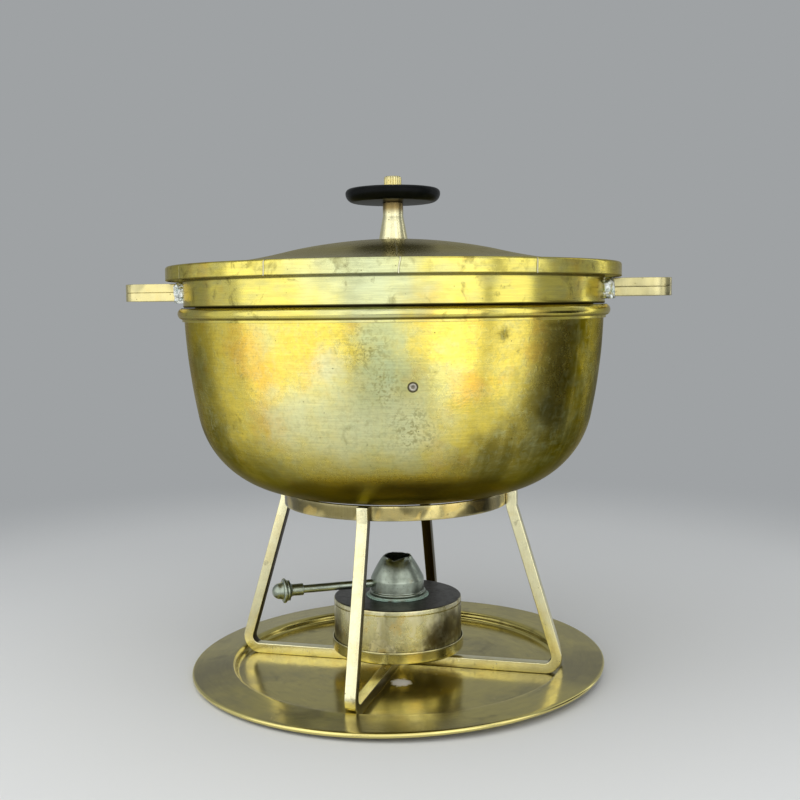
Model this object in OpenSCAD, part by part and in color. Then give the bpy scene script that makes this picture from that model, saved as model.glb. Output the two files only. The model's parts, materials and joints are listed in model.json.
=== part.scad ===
// Chafing dish: tray, four-legged stand, spirit burner, water pan, food pan and lift-off lid.
// Millimetres, +Z up, handles along X. The origin is the centre of the tray's underside.

/* [Tray] */
// Diameter over the wired edge
tray_d = 300; // [260:1:360]
// Height of the rim above the table
tray_h = 7.5; // [6:0.1:12]
// Thickness of the tray sheet
tray_t = 1.2; // [0.8:0.1:2]
// Width from the edge in to the flat of the well
tray_rim_w = 34; // [20:1:50]
// Diameter of the wired edge
wire_d = 3.2; // [2.4:0.1:5]

/* [Stand] */
// Side of the square bar that the legs are bent from
bar_w = 7.5; // [5:0.05:9]
// Height of the stand, from the tray's well to the top of the ring
stand_h = 131.35; // [110:0.05:170]
// Inside radius of the foot bends
foot_bend_r = 5.15; // [3:0.05:10]
// Inside radius of the easy bend below the ring
ease_bend_r = 4; // [2:0.5:10]
// Clearance between the feet and the round step of the tray
foot_gap = 1; // [0.5:0.1:6]
// Outer diameter of the support ring
ring_d = 162.4; // [140:0.1:180]
// Height of the support ring
ring_h = 10.1; // [6:0.1:16]
// Wall of the support ring
ring_t = 2.4; // [1.5:0.1:4]
// Turn of the stand from the line of the handles, degrees
stand_turn = -8.1; // [-20:0.1:20]

/* [Burner cup] */
// Outer diameter of the cup
cup_d = 96.2; // [80:0.1:110]
// Height of the cup
cup_h = 9.1; // [6:0.1:16]
// Sheet of the cup
cup_t = 0.9; // [0.6:0.1:1.6]
// Outside radius of the cup's lower edge
cup_edge_r = 2; // [1.7:0.1:4]
// Diameter of the boss under the cup
boss_d = 22; // [14:1:40]
// Height of the boss under the cup
boss_h = 5.1; // [4:0.1:14]
// Diameter of the cup's screw
screw_d = 4; // [3:0.1:5]
// Diameter of the screw's head
screw_head_d = 8; // [6:0.1:12]
// Height of the screw's head
screw_head_h = 2.2; // [1.5:0.1:4]

/* [Burner] */
// Clearance between the font and the cup, on the radius
cup_gap = 0.6; // [0.3:0.1:2]
// Height of the font
font_h = 37.3; // [26:0.1:50]
// Sheet of the font
font_t = 0.8; // [0.5:0.1:1.4]
// Width of the ring that the font stands on
font_foot_w = 3; // [2:0.1:6]
// Depth of the top plate's skirt
skirt_h = 3; // [2:0.1:6]
// Diameter of the collar's flange
collar_d = 46; // [42:0.1:60]
// Thickness of the collar's flange
collar_t = 2; // [1.5:0.1:4]
// Height of the collar's neck above its flange
neck_h = 4.5; // [3:0.1:7]
// Diameter of the throat through the collar
throat_d = 24; // [16:0.1:28]

/* [Flame regulator] */
// Height of the cone above the collar
cone_h = 27; // [24:0.5:40]
// Widest diameter of the cone
cone_d = 39; // [35:0.1:40]
// Diameter of the cone's mouth
mouth_d = 21; // [14:0.1:28]
// Sheet of the cone
cone_t = 1; // [0.7:0.1:1.6]
// Swell of the cone's flank
cone_swell = 0.5; // [0.2:0.1:2]
// How far the cone's foot ring stands out
foot_ring_w = 1.1; // [0.6:0.1:2]
// Height of the cone's foot ring
foot_ring_h = 2.2; // [1.5:0.1:4]
// Diameter of the lever rod
lever_d = 5.8; // [4:0.1:6.5]
// Height of the lever rod's axis above the collar
lever_up = 8; // [6.8:0.1:11]
// Reach of the lever from the burner's axis to the tip of its knob
lever_reach = 93; // [84:0.5:100]
// Direction of the lever at rest, degrees from the right handle
lever_turn = 203.5; // [195:0.5:250]

/* [Lever knob] */
// Length of the knob's ferrule
ferrule_l = 10; // [5:0.5:16]
// Diameter of the knob's ferrule
ferrule_d = 8.4; // [7:0.1:11]
// Diameter of the knob's large ring
knob_ring_d = 17.6; // [14:0.1:22]
// Diameter of the knob's small ring
knob_bead_d = 14.6; // [12:0.1:18]
// Thickness of each ring
knob_ring_t = 2.4; // [1.6:0.1:4]
// Diameter of the knob's round end
knob_end_d = 11.4; // [8:0.1:13]
// Straight part of the knob's round end
knob_end_l = 1.8; // [0.5:0.1:6]

/* [Water pan] */
// Diameter of the pan just below its rim
pan_d = 296.8; // [270:0.1:330]
// Sheet of the pan
pan_t = 1.2; // [0.8:0.1:2]
// Lean of the wall at the rim, degrees
rim_lean = 2.57; // [1:0.01:5]
// Lean of the wall where the corner starts, degrees
corner_lean = 11.8; // [8:0.1:16]
// Radius of the wall's swell
wall_r = 424; // [350:1:500]
// Radius of the lower corner
corner_r = 66.7; // [50:0.1:80]
// Radius of the crowned base
base_r = 412; // [300:1:600]
// How far the rim bead stands out
bead_w = 4.6; // [2.5:0.1:6]
// Height of the rim bead
bead_h = 9.4; // [6:0.1:12]
// Diameter of the rivet's head in the front wall
rivet_head_d = 6.6; // [5.5:0.1:10]
// Diameter of the rivet's shank
rivet_d = 3.6; // [2.5:0.1:5]
// How far the rivet's head stands out
rivet_head_t = 0.4; // [0.3:0.05:1]
// Height of the rivet below the rim bead
rivet_drop = 38.5; // [30:0.1:60]
// Direction of the rivet, degrees from the right handle
rivet_turn = 281; // [240:1:300]

/* [Food pan] */
// Sheet of the food pan
food_t = 1; // [0.7:0.1:1.6]
// Water space between the two pans' walls
jacket_gap = 6; // [4:0.5:12]
// Water space below the food pan
jacket_depth = 12; // [8:0.5:25]
// How far the collar stands out from the water pan's wall
collar_step = 0.6; // [0:0.1:2]
// Height of collar that shows between the bead and the lid
collar_show = 18.4; // [17:0.1:30]
// Clearance between the pan's lip and the lid's band
lip_gap = 1.2; // [0.6:0.1:3]

/* [Handles] */
// Side of the square bar that the handles are bent from
handle_bar = 6.2; // [5:0.05:7.5]
// Width of each handle
handle_w = 52; // [44:1:80]
// Reach of each handle from the collar
handle_reach = 44.5; // [34:0.5:60]
// Inside radius of the handles' bends
handle_bend_r = 5.15; // [3:0.05:10]
// Clearance between the handles and the lid's band above them
handle_gap = 1.2; // [0.8:0.1:3]
// Spread of solder around each end of a handle
solder_w = 1.8; // [0.8:0.1:3]
// Length of bar that the solder covers
solder_l = 5; // [3:0.5:9]

/* [Lid] */
// How far the lid's band stands out from the collar
lid_over = 11.6; // [8:0.1:16]
// Height of the lid's band
band_h = 9.8; // [8:0.1:16]
// Sheet of the lid
lid_t = 1.2; // [0.8:0.1:2]
// Outside radius of the band's upper edge
band_edge_r = 1.8; // [1.5:0.1:4]
// Rise of the dome above the band
dome_h = 18.9; // [12:0.1:30]

/* [Lid knob] */
// Height of the stem
stem_h = 26; // [18:0.5:40]
// Diameter of the stem's foot
stem_foot_d = 20.8; // [16:0.1:28]
// Diameter of the stem's upper part
stem_d = 14.6; // [11:0.1:15]
// Height of the stem's flare
flare_h = 16.5; // [8:0.1:17]
// Height of the upright edge of the stem's foot
stem_lip = 0.8; // [0.4:0.1:3]
// Diameter of the black disc
disc_d = 67.6; // [60:0.1:80]
// Thickness of the black disc
disc_t = 9.6; // [6:0.1:12]
// Diameter of the disc's flat underside
disc_under_d = 55.2; // [40:0.1:58]
// Diameter of the cap nut
cap_d = 12.5; // [10:0.1:18]
// Height of the cap nut
cap_h = 8.9; // [7:0.1:14]
// Number of flutes round the cap nut
cap_flutes = 18; // [12:1:24]
// Diameter of the stud through the knob
stud_d = 5; // [4:0.1:6]
// Size across the flats of the nut inside the lid
nut_w = 8; // [7.6:0.1:10]
// Thickness of the nut inside the lid
nut_t = 4; // [3:0.1:6]
// Diameter of the washer inside the lid
washer_d = 16; // [12:0.1:24]
// Thickness of the washer inside the lid
washer_t = 1; // [0.6:0.1:2]

/* [Hidden] */
$fn = 96;

// Clearances: loose pieces at their seats, pieces that are joined, and a screw above its hole's end
seat_gap = 0.3;
fit_gap = 0.05;
tip_gap = 1;
// How far a cutting shape runs past what it cuts
past = 1;
// Step that is left where an arc runs into what it meets
lap_step = 0.001;

brass = "goldenrod";
dull_brass = "darkkhaki";
old_pewter = "slategray";

// Tray
tray_r = tray_d / 2;
well_r = tray_r - tray_rim_w;
step_rise = tray_h - tray_t;
step_r = step_rise / 2;

// Stand, in the plane of one bar, with heights above the tray's well
ring_r = ring_d / 2;
ring_in_r = ring_r - ring_t;
leg_top_r = ring_r + fit_gap;
foot_round_r = bar_w + foot_bend_r;
foot_apart = foot_round_r + tray_h / 2 + foot_gap;
foot_rise = foot_round_r + tray_t - tray_h / 2;
foot_c = [well_r + step_rise - sqrt(foot_apart * foot_apart - foot_rise * foot_rise), foot_round_r];
ease_c = [leg_top_r + bar_w + ease_bend_r, stand_h - ring_h];
leg_run = ease_c - foot_c;
leg_lean = asin((foot_round_r + ease_bend_r) / norm(leg_run)) - atan2(leg_run.x, leg_run.y);
leg_out = [cos(leg_lean), sin(leg_lean)];
ring_top_z = tray_t + stand_h;

// Burner
boss_z = tray_t + bar_w;
cup_z = boss_z + boss_h;
font_z = cup_z + cup_t;
font_r = cup_d / 2 - cup_t - cup_gap;
kick_h = screw_head_h + tip_gap;
font_top_z = font_z + font_h;
flange_z = font_top_z + collar_t;
cone_r = cone_d / 2;
mouth_r = mouth_d / 2;
throat_r = throat_d / 2;
neck_r = cone_r - cone_t - seat_gap;
lever_z = flange_z + lever_up;
knob_l = ferrule_l + 2 * knob_ring_t + knob_end_l + knob_end_d / 2;
rod_end = lever_reach - knob_l;

// Water pan: three arcs that run into each other, from the crowned base up to the rim
pan_r = pan_d / 2;
wall_foot_r = pan_r - wall_r * (cos(rim_lean) - cos(corner_lean));
corner_c_r = wall_foot_r - corner_r * cos(corner_lean);
base_lean = acos(corner_c_r / (base_r - corner_r));
join_r = base_r * cos(base_lean);
corner_c_up = base_r - (base_r - corner_r) * sin(base_lean);
// Height of the pan's underside at a radius, above its lowest point
function pan_under(r) = r <= join_r
    ? base_r - sqrt(base_r * base_r - r * r)
    : corner_c_up - sqrt(corner_r * corner_r - pow(r - corner_c_r, 2));
pan_z = ring_top_z + seat_gap - pan_under(ring_in_r);
base_c = [0, pan_z + base_r];
corner_c = [corner_c_r, pan_z + corner_c_up];
wall_c = corner_c - (wall_r - corner_r) * [cos(corner_lean), -sin(corner_lean)];
bead_z = wall_c.y - wall_r * sin(rim_lean);
bead_top_z = bead_z + bead_h;

// Food pan: the water pan's arcs, drawn in and raised
food_in = pan_t + jacket_gap;
shoulder_z = bead_top_z + seat_gap;
collar_r = pan_r + collar_step;
band_z = shoulder_z + collar_show;
brim_z = band_z + band_h;
lip_top_z = brim_z - lid_t - seat_gap;
lid_r = collar_r + lid_over;
lip_r = lid_r - lid_t - lip_gap;
food_up = [0, jacket_depth];
food_wall_r = wall_r - food_in;
food_wall_lean = asin((wall_c.y + jacket_depth - shoulder_z) / food_wall_r);
food_top_r = wall_c.x + food_wall_r * cos(food_wall_lean);

// Handles
handle_top_z = band_z - handle_gap;
handle_z = handle_top_z - 2 * handle_bar;
handle_tip = collar_r + handle_reach;

// Lid: two arcs of one radius make the dome's ogee
dome_r = lid_r - band_edge_r;
ogee_w = dome_r / 2;
ogee_h = dome_h / 2;
ogee_r = (ogee_w * ogee_w + ogee_h * ogee_h) / (2 * ogee_h);
ogee_lean = asin(ogee_w / ogee_r);
dome_top_z = brim_z + dome_h;
disc_z = dome_top_z + stem_h;
cap_z = disc_z + disc_t;
stud_hole_r = stud_d / 2 + fit_gap;
crown_in_r = ogee_r - lid_t;
washer_dip = crown_in_r - sqrt(crown_in_r * crown_in_r - washer_d * washer_d / 4);
washer_z = dome_top_z - lid_t - washer_dip - washer_t - fit_gap;
nut_z = washer_z - nut_t;

// Band of a ring between two angles, measured from the outer radius in
module arc_band(centre, outer_r, thick, from, to) {
    reach = 2 * outer_r;
    steps = 4;
    translate(centre)
        intersection() {
            difference() {
                circle(outer_r, $fn = 360);
                circle(outer_r - thick, $fn = 360);
            }
            polygon(concat([[0, 0]], [
                for (i = [0 : steps])
                    let (a = from + (to - from) * i / steps)
                        reach * [cos(a), sin(a)]
            ]));
        }
}

// Angle at which an arc has left its tangent by the step
function lap_angle(radius) = acos(1 - lap_step / radius);

// Arc that runs a little into what lies at both its ends, so that they are one
module bend(centre, outer_r, thick, from, to) {
    lap = lap_angle(outer_r);
    arc_band(centre, outer_r, thick, from - lap, to + lap);
}

// Rectangle between two corners
module box2d(low, high) {
    translate(low)
        square(high - low);
}

// Round washer or sleeve standing on a height
module sleeve(outer_r, inner_r, height) {
    difference() {
        cylinder(r = outer_r, h = height);
        translate([0, 0, -past])
            cylinder(r = inner_r, h = height + 2 * past);
    }
}

// Section of a pan's wall, drawn in from the water pan's outside by some distance
module pan_section(drawn_in, thick, top_lean) {
    arc_band(base_c, base_r - drawn_in, thick, -90, -base_lean);
    bend(corner_c, corner_r - drawn_in, thick, -base_lean, -corner_lean);
    arc_band(wall_c, wall_r - drawn_in, thick, -corner_lean, -top_lean);
}

module tray() {
    color(dull_brass)
        rotate_extrude() {
            square([well_r, tray_t]);
            bend([well_r, tray_t / 2 + step_r], step_r + tray_t / 2, tray_t, -90, 0);
            bend([well_r + 2 * step_r, tray_h - step_r - tray_t / 2], step_r + tray_t / 2, tray_t, 90, 180);
            box2d([well_r + 2 * step_r, step_rise], [tray_r - wire_d / 2, tray_h]);
            translate([tray_r - wire_d / 2, tray_h - wire_d / 2])
                circle(d = wire_d);
        }
}

module support_ring() {
    color(brass)
        translate([0, 0, ring_top_z - ring_h])
            sleeve(ring_r, ring_in_r, ring_h);
}

// One leg with its half of the base run, in the plane of the bar
module half_leg() {
    square([foot_c.x, bar_w]);
    bend(foot_c, foot_round_r, bar_w, -90, leg_lean);
    polygon([
        foot_c + foot_bend_r * leg_out,
        foot_c + foot_round_r * leg_out,
        ease_c - ease_bend_r * leg_out,
        ease_c - (ease_bend_r + bar_w) * leg_out
    ]);
    bend(ease_c, ease_bend_r + bar_w, bar_w, 180, 180 + leg_lean);
    box2d([leg_top_r, ease_c.y], [leg_top_r + bar_w, stand_h]);
}

// Square bar bent into two legs, halved at the middle where it crosses the other
module leg_bar(turn, lap_from) {
    lap_w = bar_w + 2 * fit_gap;
    color(brass)
        translate([0, 0, tray_t])
            rotate([0, 0, stand_turn + turn])
                difference() {
                    rotate([90, 0, 0])
                        linear_extrude(bar_w, center = true) {
                            half_leg();
                            mirror([1, 0])
                                half_leg();
                        }
                    translate([-lap_w / 2, -bar_w, lap_from])
                        cube([lap_w, 2 * bar_w, bar_w]);
                    translate([0, 0, tip_gap])
                        cylinder(d = screw_d + 2 * fit_gap, h = bar_w);
                }
}

module leg_bar_lower() {
    leg_bar(0, bar_w / 2);
}

module leg_bar_upper() {
    leg_bar(90, -bar_w / 2);
}

module cup_boss() {
    color(dull_brass)
        translate([0, 0, boss_z])
            sleeve(boss_d / 2, screw_d / 2 + fit_gap, boss_h);
}

module burner_cup() {
    cup_r = cup_d / 2;
    color(brass)
        translate([0, 0, cup_z])
            rotate_extrude() {
                box2d([screw_d / 2 + fit_gap, 0], [cup_r - cup_edge_r, cup_t]);
                bend([cup_r - cup_edge_r, cup_edge_r], cup_edge_r, cup_t, -90, 0);
                box2d([cup_r - cup_t, cup_edge_r], [cup_r, cup_h]);
            }
}

module cup_screw() {
    shank_z = tray_t + tip_gap + fit_gap;
    color("silver") {
        translate([0, 0, shank_z])
            cylinder(d = screw_d, h = font_z - shank_z);
        translate([0, 0, font_z])
            cylinder(d = screw_head_d, h = screw_head_h);
    }
}

// Can with its bottom pressed up clear of the screw's head, and its top let into the plate
module font_can() {
    wall_top = font_h - font_t - skirt_h;
    foot_out_r = font_r - cup_edge_r;
    foot_in_r = foot_out_r - font_foot_w;
    color(dull_brass)
        translate([0, 0, font_z])
            rotate_extrude() {
                box2d([font_r - font_t, cup_edge_r], [font_r, wall_top]);
                box2d([font_r - 2 * font_t, wall_top - font_t], [font_r - font_t, font_h - font_t - seat_gap]);
                bend([foot_out_r, cup_edge_r], cup_edge_r, font_t, -90, 0);
                box2d([foot_in_r, 0], [foot_out_r, font_t]);
                box2d([foot_in_r, 0], [foot_in_r + font_t, kick_h + font_t]);
                box2d([0, kick_h], [foot_in_r, kick_h + font_t]);
            }
}

module font_top_plate() {
    edge_r = font_t + seat_gap;
    color("dimgray")
        translate([0, 0, font_top_z])
            rotate_extrude() {
                box2d([throat_r, -font_t], [font_r - edge_r, 0]);
                bend([font_r - edge_r, -edge_r], edge_r, font_t, 0, 90);
                box2d([font_r - font_t, -skirt_h - font_t], [font_r, -edge_r]);
            }
}

module burner_collar() {
    color(old_pewter)
        translate([0, 0, font_top_z])
            rotate_extrude() {
                box2d([throat_r, 0], [collar_d / 2 - collar_t / 2, collar_t]);
                translate([collar_d / 2 - collar_t / 2, collar_t / 2])
                    circle(d = collar_t);
                box2d([neck_r - cone_t, 0], [neck_r, collar_t + neck_h]);
            }
}

// Wire gauze that closes the throat, laid on the packing
module throat_gauze() {
    color("gray")
        translate([0, 0, font_top_z - 2 * font_t])
            cylinder(r = throat_r + font_t, h = font_t);
}

module wool_packing() {
    packing_z = font_z + kick_h + font_t;
    color("ivory")
        translate([0, 0, packing_z])
            cylinder(r = font_r - cup_edge_r - font_t, h = font_top_z - 2 * font_t - packing_z);
}

// Hollow cone with a foot ring, a short upright wall and a swelling flank, bored for the lever
module flame_cone() {
    wall_h = lever_up + lever_d / 2;
    flank_h = cone_h - wall_h;
    steps = 10;
    flank = [
        for (i = [0 : steps])
            let (s = i / steps)
                [cone_r + (mouth_r - cone_r) * s + cone_swell * sin(180 * s), wall_h + flank_h * s]
    ];
    inside = [for (i = [steps : -1 : 0]) flank[i] - [cone_t, 0]];
    ring_mid = cone_r + foot_ring_w - foot_ring_h / 2;
    color(old_pewter)
        translate([0, 0, flange_z])
            difference() {
                rotate_extrude() {
                    box2d([cone_r - cone_t, 0], [cone_r, wall_h]);
                    polygon(concat(flank, inside));
                    box2d([cone_r - cone_t, 0], [ring_mid, foot_ring_h]);
                    translate([ring_mid, foot_ring_h / 2])
                        circle(d = foot_ring_h);
                }
                rotate([0, 0, lever_turn])
                    translate([0, 0, lever_up])
                        rotate([0, 90, 0])
                            cylinder(d = lever_d + 2 * fit_gap, h = 2 * cone_r);
            }
}

// Places a piece that is drawn along +Z on the lever's axis
module on_lever(from) {
    translate([0, 0, lever_z])
        rotate([0, 0, lever_turn])
            translate([from, 0, 0])
                rotate([0, 90, 0])
                    children();
}

module lever_rod() {
    rod_from = cone_r - cone_t;
    color(old_pewter)
        on_lever(rod_from)
            cylinder(d = lever_d, h = rod_end - rod_from);
}

// Turned knob: ferrule that flares to two rings, and a round end
module lever_knob() {
    rod_r = lever_d / 2;
    ferrule_r = ferrule_d / 2;
    bead_r = knob_bead_d / 2;
    ring_knob_r = knob_ring_d / 2;
    end_r = knob_end_d / 2;
    flare_l = bead_r - ferrule_r;
    ring_z = ferrule_l + knob_ring_t;
    color(old_pewter)
        on_lever(rod_end)
            rotate_extrude() {
                square([ferrule_r, ferrule_l]);
                difference() {
                    box2d([0, ferrule_l - flare_l], [bead_r, ferrule_l]);
                    translate([bead_r, ferrule_l - flare_l])
                        circle(flare_l);
                }
                box2d([0, ferrule_l], [bead_r - knob_ring_t / 2, ring_z]);
                translate([bead_r - knob_ring_t / 2, ferrule_l + knob_ring_t / 2])
                    circle(d = knob_ring_t);
                box2d([0, ring_z], [ring_knob_r - knob_ring_t / 2, ring_z + knob_ring_t]);
                translate([ring_knob_r - knob_ring_t / 2, ring_z + knob_ring_t / 2])
                    circle(d = knob_ring_t);
                translate([0, ring_z + knob_ring_t]) {
                    square([end_r, knob_end_l]);
                    translate([0, knob_end_l])
                        intersection() {
                            circle(end_r);
                            square(end_r);
                        }
                }
            }
}

// Line out through the water pan's wall at the rivet
module on_rivet() {
    rivet_lean = asin((wall_c.y - bead_z + rivet_drop) / wall_r);
    rotate([0, 0, rivet_turn])
        translate([wall_c.x, 0, wall_c.y])
            rotate([0, 90 + rivet_lean, 0])
                translate([0, 0, wall_r - pan_t - past])
                    children();
}

module water_pan() {
    color(brass)
        difference() {
            rotate_extrude() {
                pan_section(0, pan_t, rim_lean);
                box2d([pan_r - pan_t, bead_z], [pan_r, bead_top_z]);
            }
            on_rivet()
                cylinder(d = rivet_d + 2 * fit_gap, h = pan_t + 2 * past);
        }
}

// Half-round moulding on a thin fillet, soldered round the pan's rim
module rim_bead() {
    fillet_h = bead_h / 6;
    round_r = (bead_h - fillet_h) / 2;
    color(brass)
        rotate_extrude() {
            box2d([pan_r, bead_z], [pan_r + bead_w / 3, bead_z + fillet_h]);
            intersection() {
                translate([pan_r + bead_w - round_r, bead_top_z - round_r])
                    circle(round_r);
                box2d([pan_r, bead_z], [pan_r + bead_w, bead_top_z]);
            }
            box2d([pan_r, bead_z + fillet_h], [pan_r + max(bead_w - round_r, bead_w / 3), bead_top_z]);
        }
}

module wall_rivet() {
    color("gray") {
        intersection() {
            on_rivet()
                cylinder(d = rivet_d, h = pan_t + 2 * past);
            rotate_extrude()
                arc_band(wall_c, wall_r, pan_t, -corner_lean, -rim_lean);
        }
        intersection() {
            on_rivet()
                cylinder(d = rivet_head_d, h = pan_t + rivet_head_t + 2 * past);
            rotate_extrude()
                arc_band(wall_c, wall_r + rivet_head_t, rivet_head_t, -corner_lean, -rim_lean);
        }
    }
}

// Bowl with a shoulder that sits on the bead, an upright collar and a lip under the lid
module food_pan() {
    color(brass)
        rotate_extrude() {
            translate(food_up)
                pan_section(food_in, food_t, food_wall_lean);
            box2d([food_top_r - food_t, shoulder_z], [collar_r, shoulder_z + food_t]);
            box2d([collar_r - food_t, shoulder_z], [collar_r, lip_top_z]);
            box2d([collar_r - food_t, lip_top_z - food_t], [lip_r - food_t / 2, lip_top_z]);
            translate([lip_r - food_t / 2, lip_top_z - food_t / 2])
                circle(d = food_t);
        }
}

// Half of a handle's bar, seen from above, on the +Y side
module half_handle() {
    bend_c = [handle_tip - handle_bar - handle_bend_r, handle_w / 2 - handle_bar - handle_bend_r];
    box2d([0, handle_w / 2 - handle_bar], [bend_c.x, handle_w / 2]);
    bend(bend_c, handle_bend_r + handle_bar, handle_bar, 0, 90);
    box2d([handle_tip - handle_bar, 0], [handle_tip, bend_c.y]);
}

// Square bar bent into a loop, with its ends cut to the collar
module handle_loop(turn, from_z) {
    color(brass)
        rotate([0, 0, turn])
            translate([0, 0, from_z])
                difference() {
                    linear_extrude(handle_bar) {
                        half_handle();
                        mirror([0, 1])
                            half_handle();
                    }
                    translate([0, 0, -past])
                        cylinder(r = collar_r + fit_gap, h = handle_bar + 2 * past);
                }
}

module handle_left_lower() {
    handle_loop(180, handle_z);
}

module handle_left_upper() {
    handle_loop(180, handle_z + handle_bar);
}

module handle_right_lower() {
    handle_loop(0, handle_z);
}

module handle_right_upper() {
    handle_loop(0, handle_z + handle_bar);
}

// Solder round the four ends of the handles
module handle_solder() {
    bar_y = handle_w / 2 - handle_bar;
    solder_w_z = min(solder_w, handle_gap / 2);
    low = [0, bar_y - solder_w, handle_z - solder_w];
    size = [collar_r + solder_l, handle_bar + 2 * solder_w, 2 * handle_bar + solder_w + solder_w_z];
    color("silver")
        for (turn = [0, 180], side = [0, 1])
            rotate([0, 0, turn])
                mirror([0, side, 0])
                    difference() {
                        translate(low)
                            cube(size);
                        translate([0, bar_y - fit_gap, handle_z - fit_gap])
                            cube([handle_tip, handle_bar + 2 * fit_gap, 2 * (handle_bar + fit_gap)]);
                        translate([0, 0, handle_z - solder_w - past])
                            cylinder(r = collar_r + fit_gap, h = size.z + 2 * past);
                    }
}

module lid_shell() {
    crown_c = [0, dome_top_z - ogee_r];
    hollow_c = [dome_r, brim_z + ogee_r];
    edge_c = [lid_r - band_edge_r, brim_z - band_edge_r];
    color(brass)
        difference() {
            rotate_extrude() {
                arc_band(crown_c, ogee_r, lid_t, 90 - ogee_lean - lap_angle(ogee_r), 90);
                arc_band(hollow_c, ogee_r + lid_t, lid_t, -90 - ogee_lean, -90);
                bend(edge_c, band_edge_r, lid_t, 0, 90);
                box2d([lid_r - lid_t, band_z], [lid_r, edge_c.y]);
            }
            translate([0, 0, dome_top_z - 2 * lid_t])
                cylinder(r = stud_hole_r, h = 3 * lid_t);
        }
}

module knob_stem() {
    stem_r = stem_d / 2;
    stem_foot_r = stem_foot_d / 2;
    outer = [[stem_foot_r, 0], [stem_foot_r, stem_lip], [stem_r, flare_h], [stem_r, stem_h]];
    color(brass)
        translate([0, 0, dome_top_z])
            rotate_extrude()
                polygon(concat([[stud_hole_r, 0]], outer, [[stud_hole_r, stem_h]]));
}

// Black disc with a full edge that is undercut to a smaller flat
module knob_disc() {
    disc_r = disc_d / 2;
    under_r = disc_under_d / 2;
    edge_z = disc_t * 2 / 3;
    edge_r = disc_t - edge_z;
    steps = 12;
    lower = [
        for (i = [0 : steps])
            let (a = 90 * i / steps)
                [under_r + (disc_r - under_r) * sin(a), edge_z * (1 - cos(a))]
    ];
    upper = [
        for (i = [1 : steps])
            let (a = 90 * i / steps)
                [disc_r - edge_r + edge_r * cos(a), edge_z + edge_r * sin(a)]
    ];
    color("black")
        translate([0, 0, disc_z])
            rotate_extrude()
                polygon(concat([[stud_hole_r, 0]], lower, upper, [[stud_hole_r, disc_t]]));
}

// Fluted cap nut with a chamfered top and a blind bore
module knob_cap() {
    cap_r = cap_d / 2;
    chamfer = cap_r / 6;
    flute_r = 0.3 * PI * cap_d / cap_flutes;
    color(brass)
        translate([0, 0, cap_z])
            difference() {
                rotate_extrude()
                    polygon([[0, 0], [cap_r, 0], [cap_r, cap_h - chamfer], [cap_r - chamfer, cap_h], [0, cap_h]]);
                translate([0, 0, -past])
                    cylinder(r = stud_hole_r, h = cap_h - 2 * tip_gap + past);
                for (i = [1 : cap_flutes])
                    rotate([0, 0, i * 360 / cap_flutes])
                        translate([cap_r + flute_r / 3, 0, -past])
                            cylinder(r = flute_r, h = cap_h + 2 * past, $fn = 24);
            }
}

module knob_stud() {
    stud_z = nut_z - tip_gap;
    color("silver")
        translate([0, 0, stud_z])
            cylinder(d = stud_d, h = cap_z + cap_h - 3 * tip_gap - stud_z);
}

module stud_washer() {
    color("silver")
        translate([0, 0, washer_z])
            sleeve(washer_d / 2, stud_hole_r, washer_t);
}

module stud_nut() {
    color("silver")
        translate([0, 0, nut_z])
            difference() {
                cylinder(d = nut_w / cos(30), h = nut_t, $fn = 6);
                translate([0, 0, -past])
                    cylinder(r = stud_hole_r, h = nut_t + 2 * past);
            }
}

tray();
support_ring();
leg_bar_lower();
leg_bar_upper();
cup_boss();
burner_cup();
cup_screw();
font_can();
font_top_plate();
burner_collar();
throat_gauze();
wool_packing();
flame_cone();
lever_rod();
lever_knob();
water_pan();
rim_bead();
wall_rivet();
food_pan();
handle_left_lower();
handle_left_upper();
handle_right_lower();
handle_right_upper();
handle_solder();
lid_shell();
knob_stem();
knob_disc();
knob_cap();
knob_stud();
stud_washer();
stud_nut();
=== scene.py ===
import json
from math import (acos, asin, atan2, copysign, cos, degrees, dist, exp, hypot, pi, radians,
                  sin, sqrt)

import bmesh
import bpy
from mathutils import Matrix, Vector, noise


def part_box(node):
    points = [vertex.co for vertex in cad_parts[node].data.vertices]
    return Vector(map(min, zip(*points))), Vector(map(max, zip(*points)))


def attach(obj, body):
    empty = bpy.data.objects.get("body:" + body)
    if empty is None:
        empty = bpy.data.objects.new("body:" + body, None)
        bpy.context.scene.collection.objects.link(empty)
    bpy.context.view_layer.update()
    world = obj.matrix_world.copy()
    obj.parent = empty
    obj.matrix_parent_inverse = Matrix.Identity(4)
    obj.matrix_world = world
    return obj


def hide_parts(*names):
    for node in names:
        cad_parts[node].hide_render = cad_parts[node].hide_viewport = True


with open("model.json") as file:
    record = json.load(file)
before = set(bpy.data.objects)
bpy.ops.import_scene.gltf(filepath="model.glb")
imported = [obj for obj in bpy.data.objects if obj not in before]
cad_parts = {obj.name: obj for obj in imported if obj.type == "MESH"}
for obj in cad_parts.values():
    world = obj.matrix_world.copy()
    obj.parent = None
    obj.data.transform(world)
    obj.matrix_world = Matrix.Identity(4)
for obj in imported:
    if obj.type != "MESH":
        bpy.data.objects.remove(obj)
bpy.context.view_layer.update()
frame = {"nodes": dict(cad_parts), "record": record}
bodyOf = {node: body for body, group in frame["record"]["behaviour"]["bodies"].items() for node in group}
mm = 0.001
scene = bpy.context.scene
print("frame loaded with", len(frame["nodes"]), "nodes")


# Shared makers: profiles in millimetres, radius and height

def arc(centre, radius, start, end, steps):
    turns = [radians(start + (end - start) * i / steps) for i in range(steps + 1)]
    return [(centre[0] + radius * cos(a), centre[1] + radius * sin(a)) for a in turns]


def line(start, end, steps):
    return [tuple(a + (b - a) * i / steps for a, b in zip(start, end)) for i in range(steps + 1)]


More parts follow.
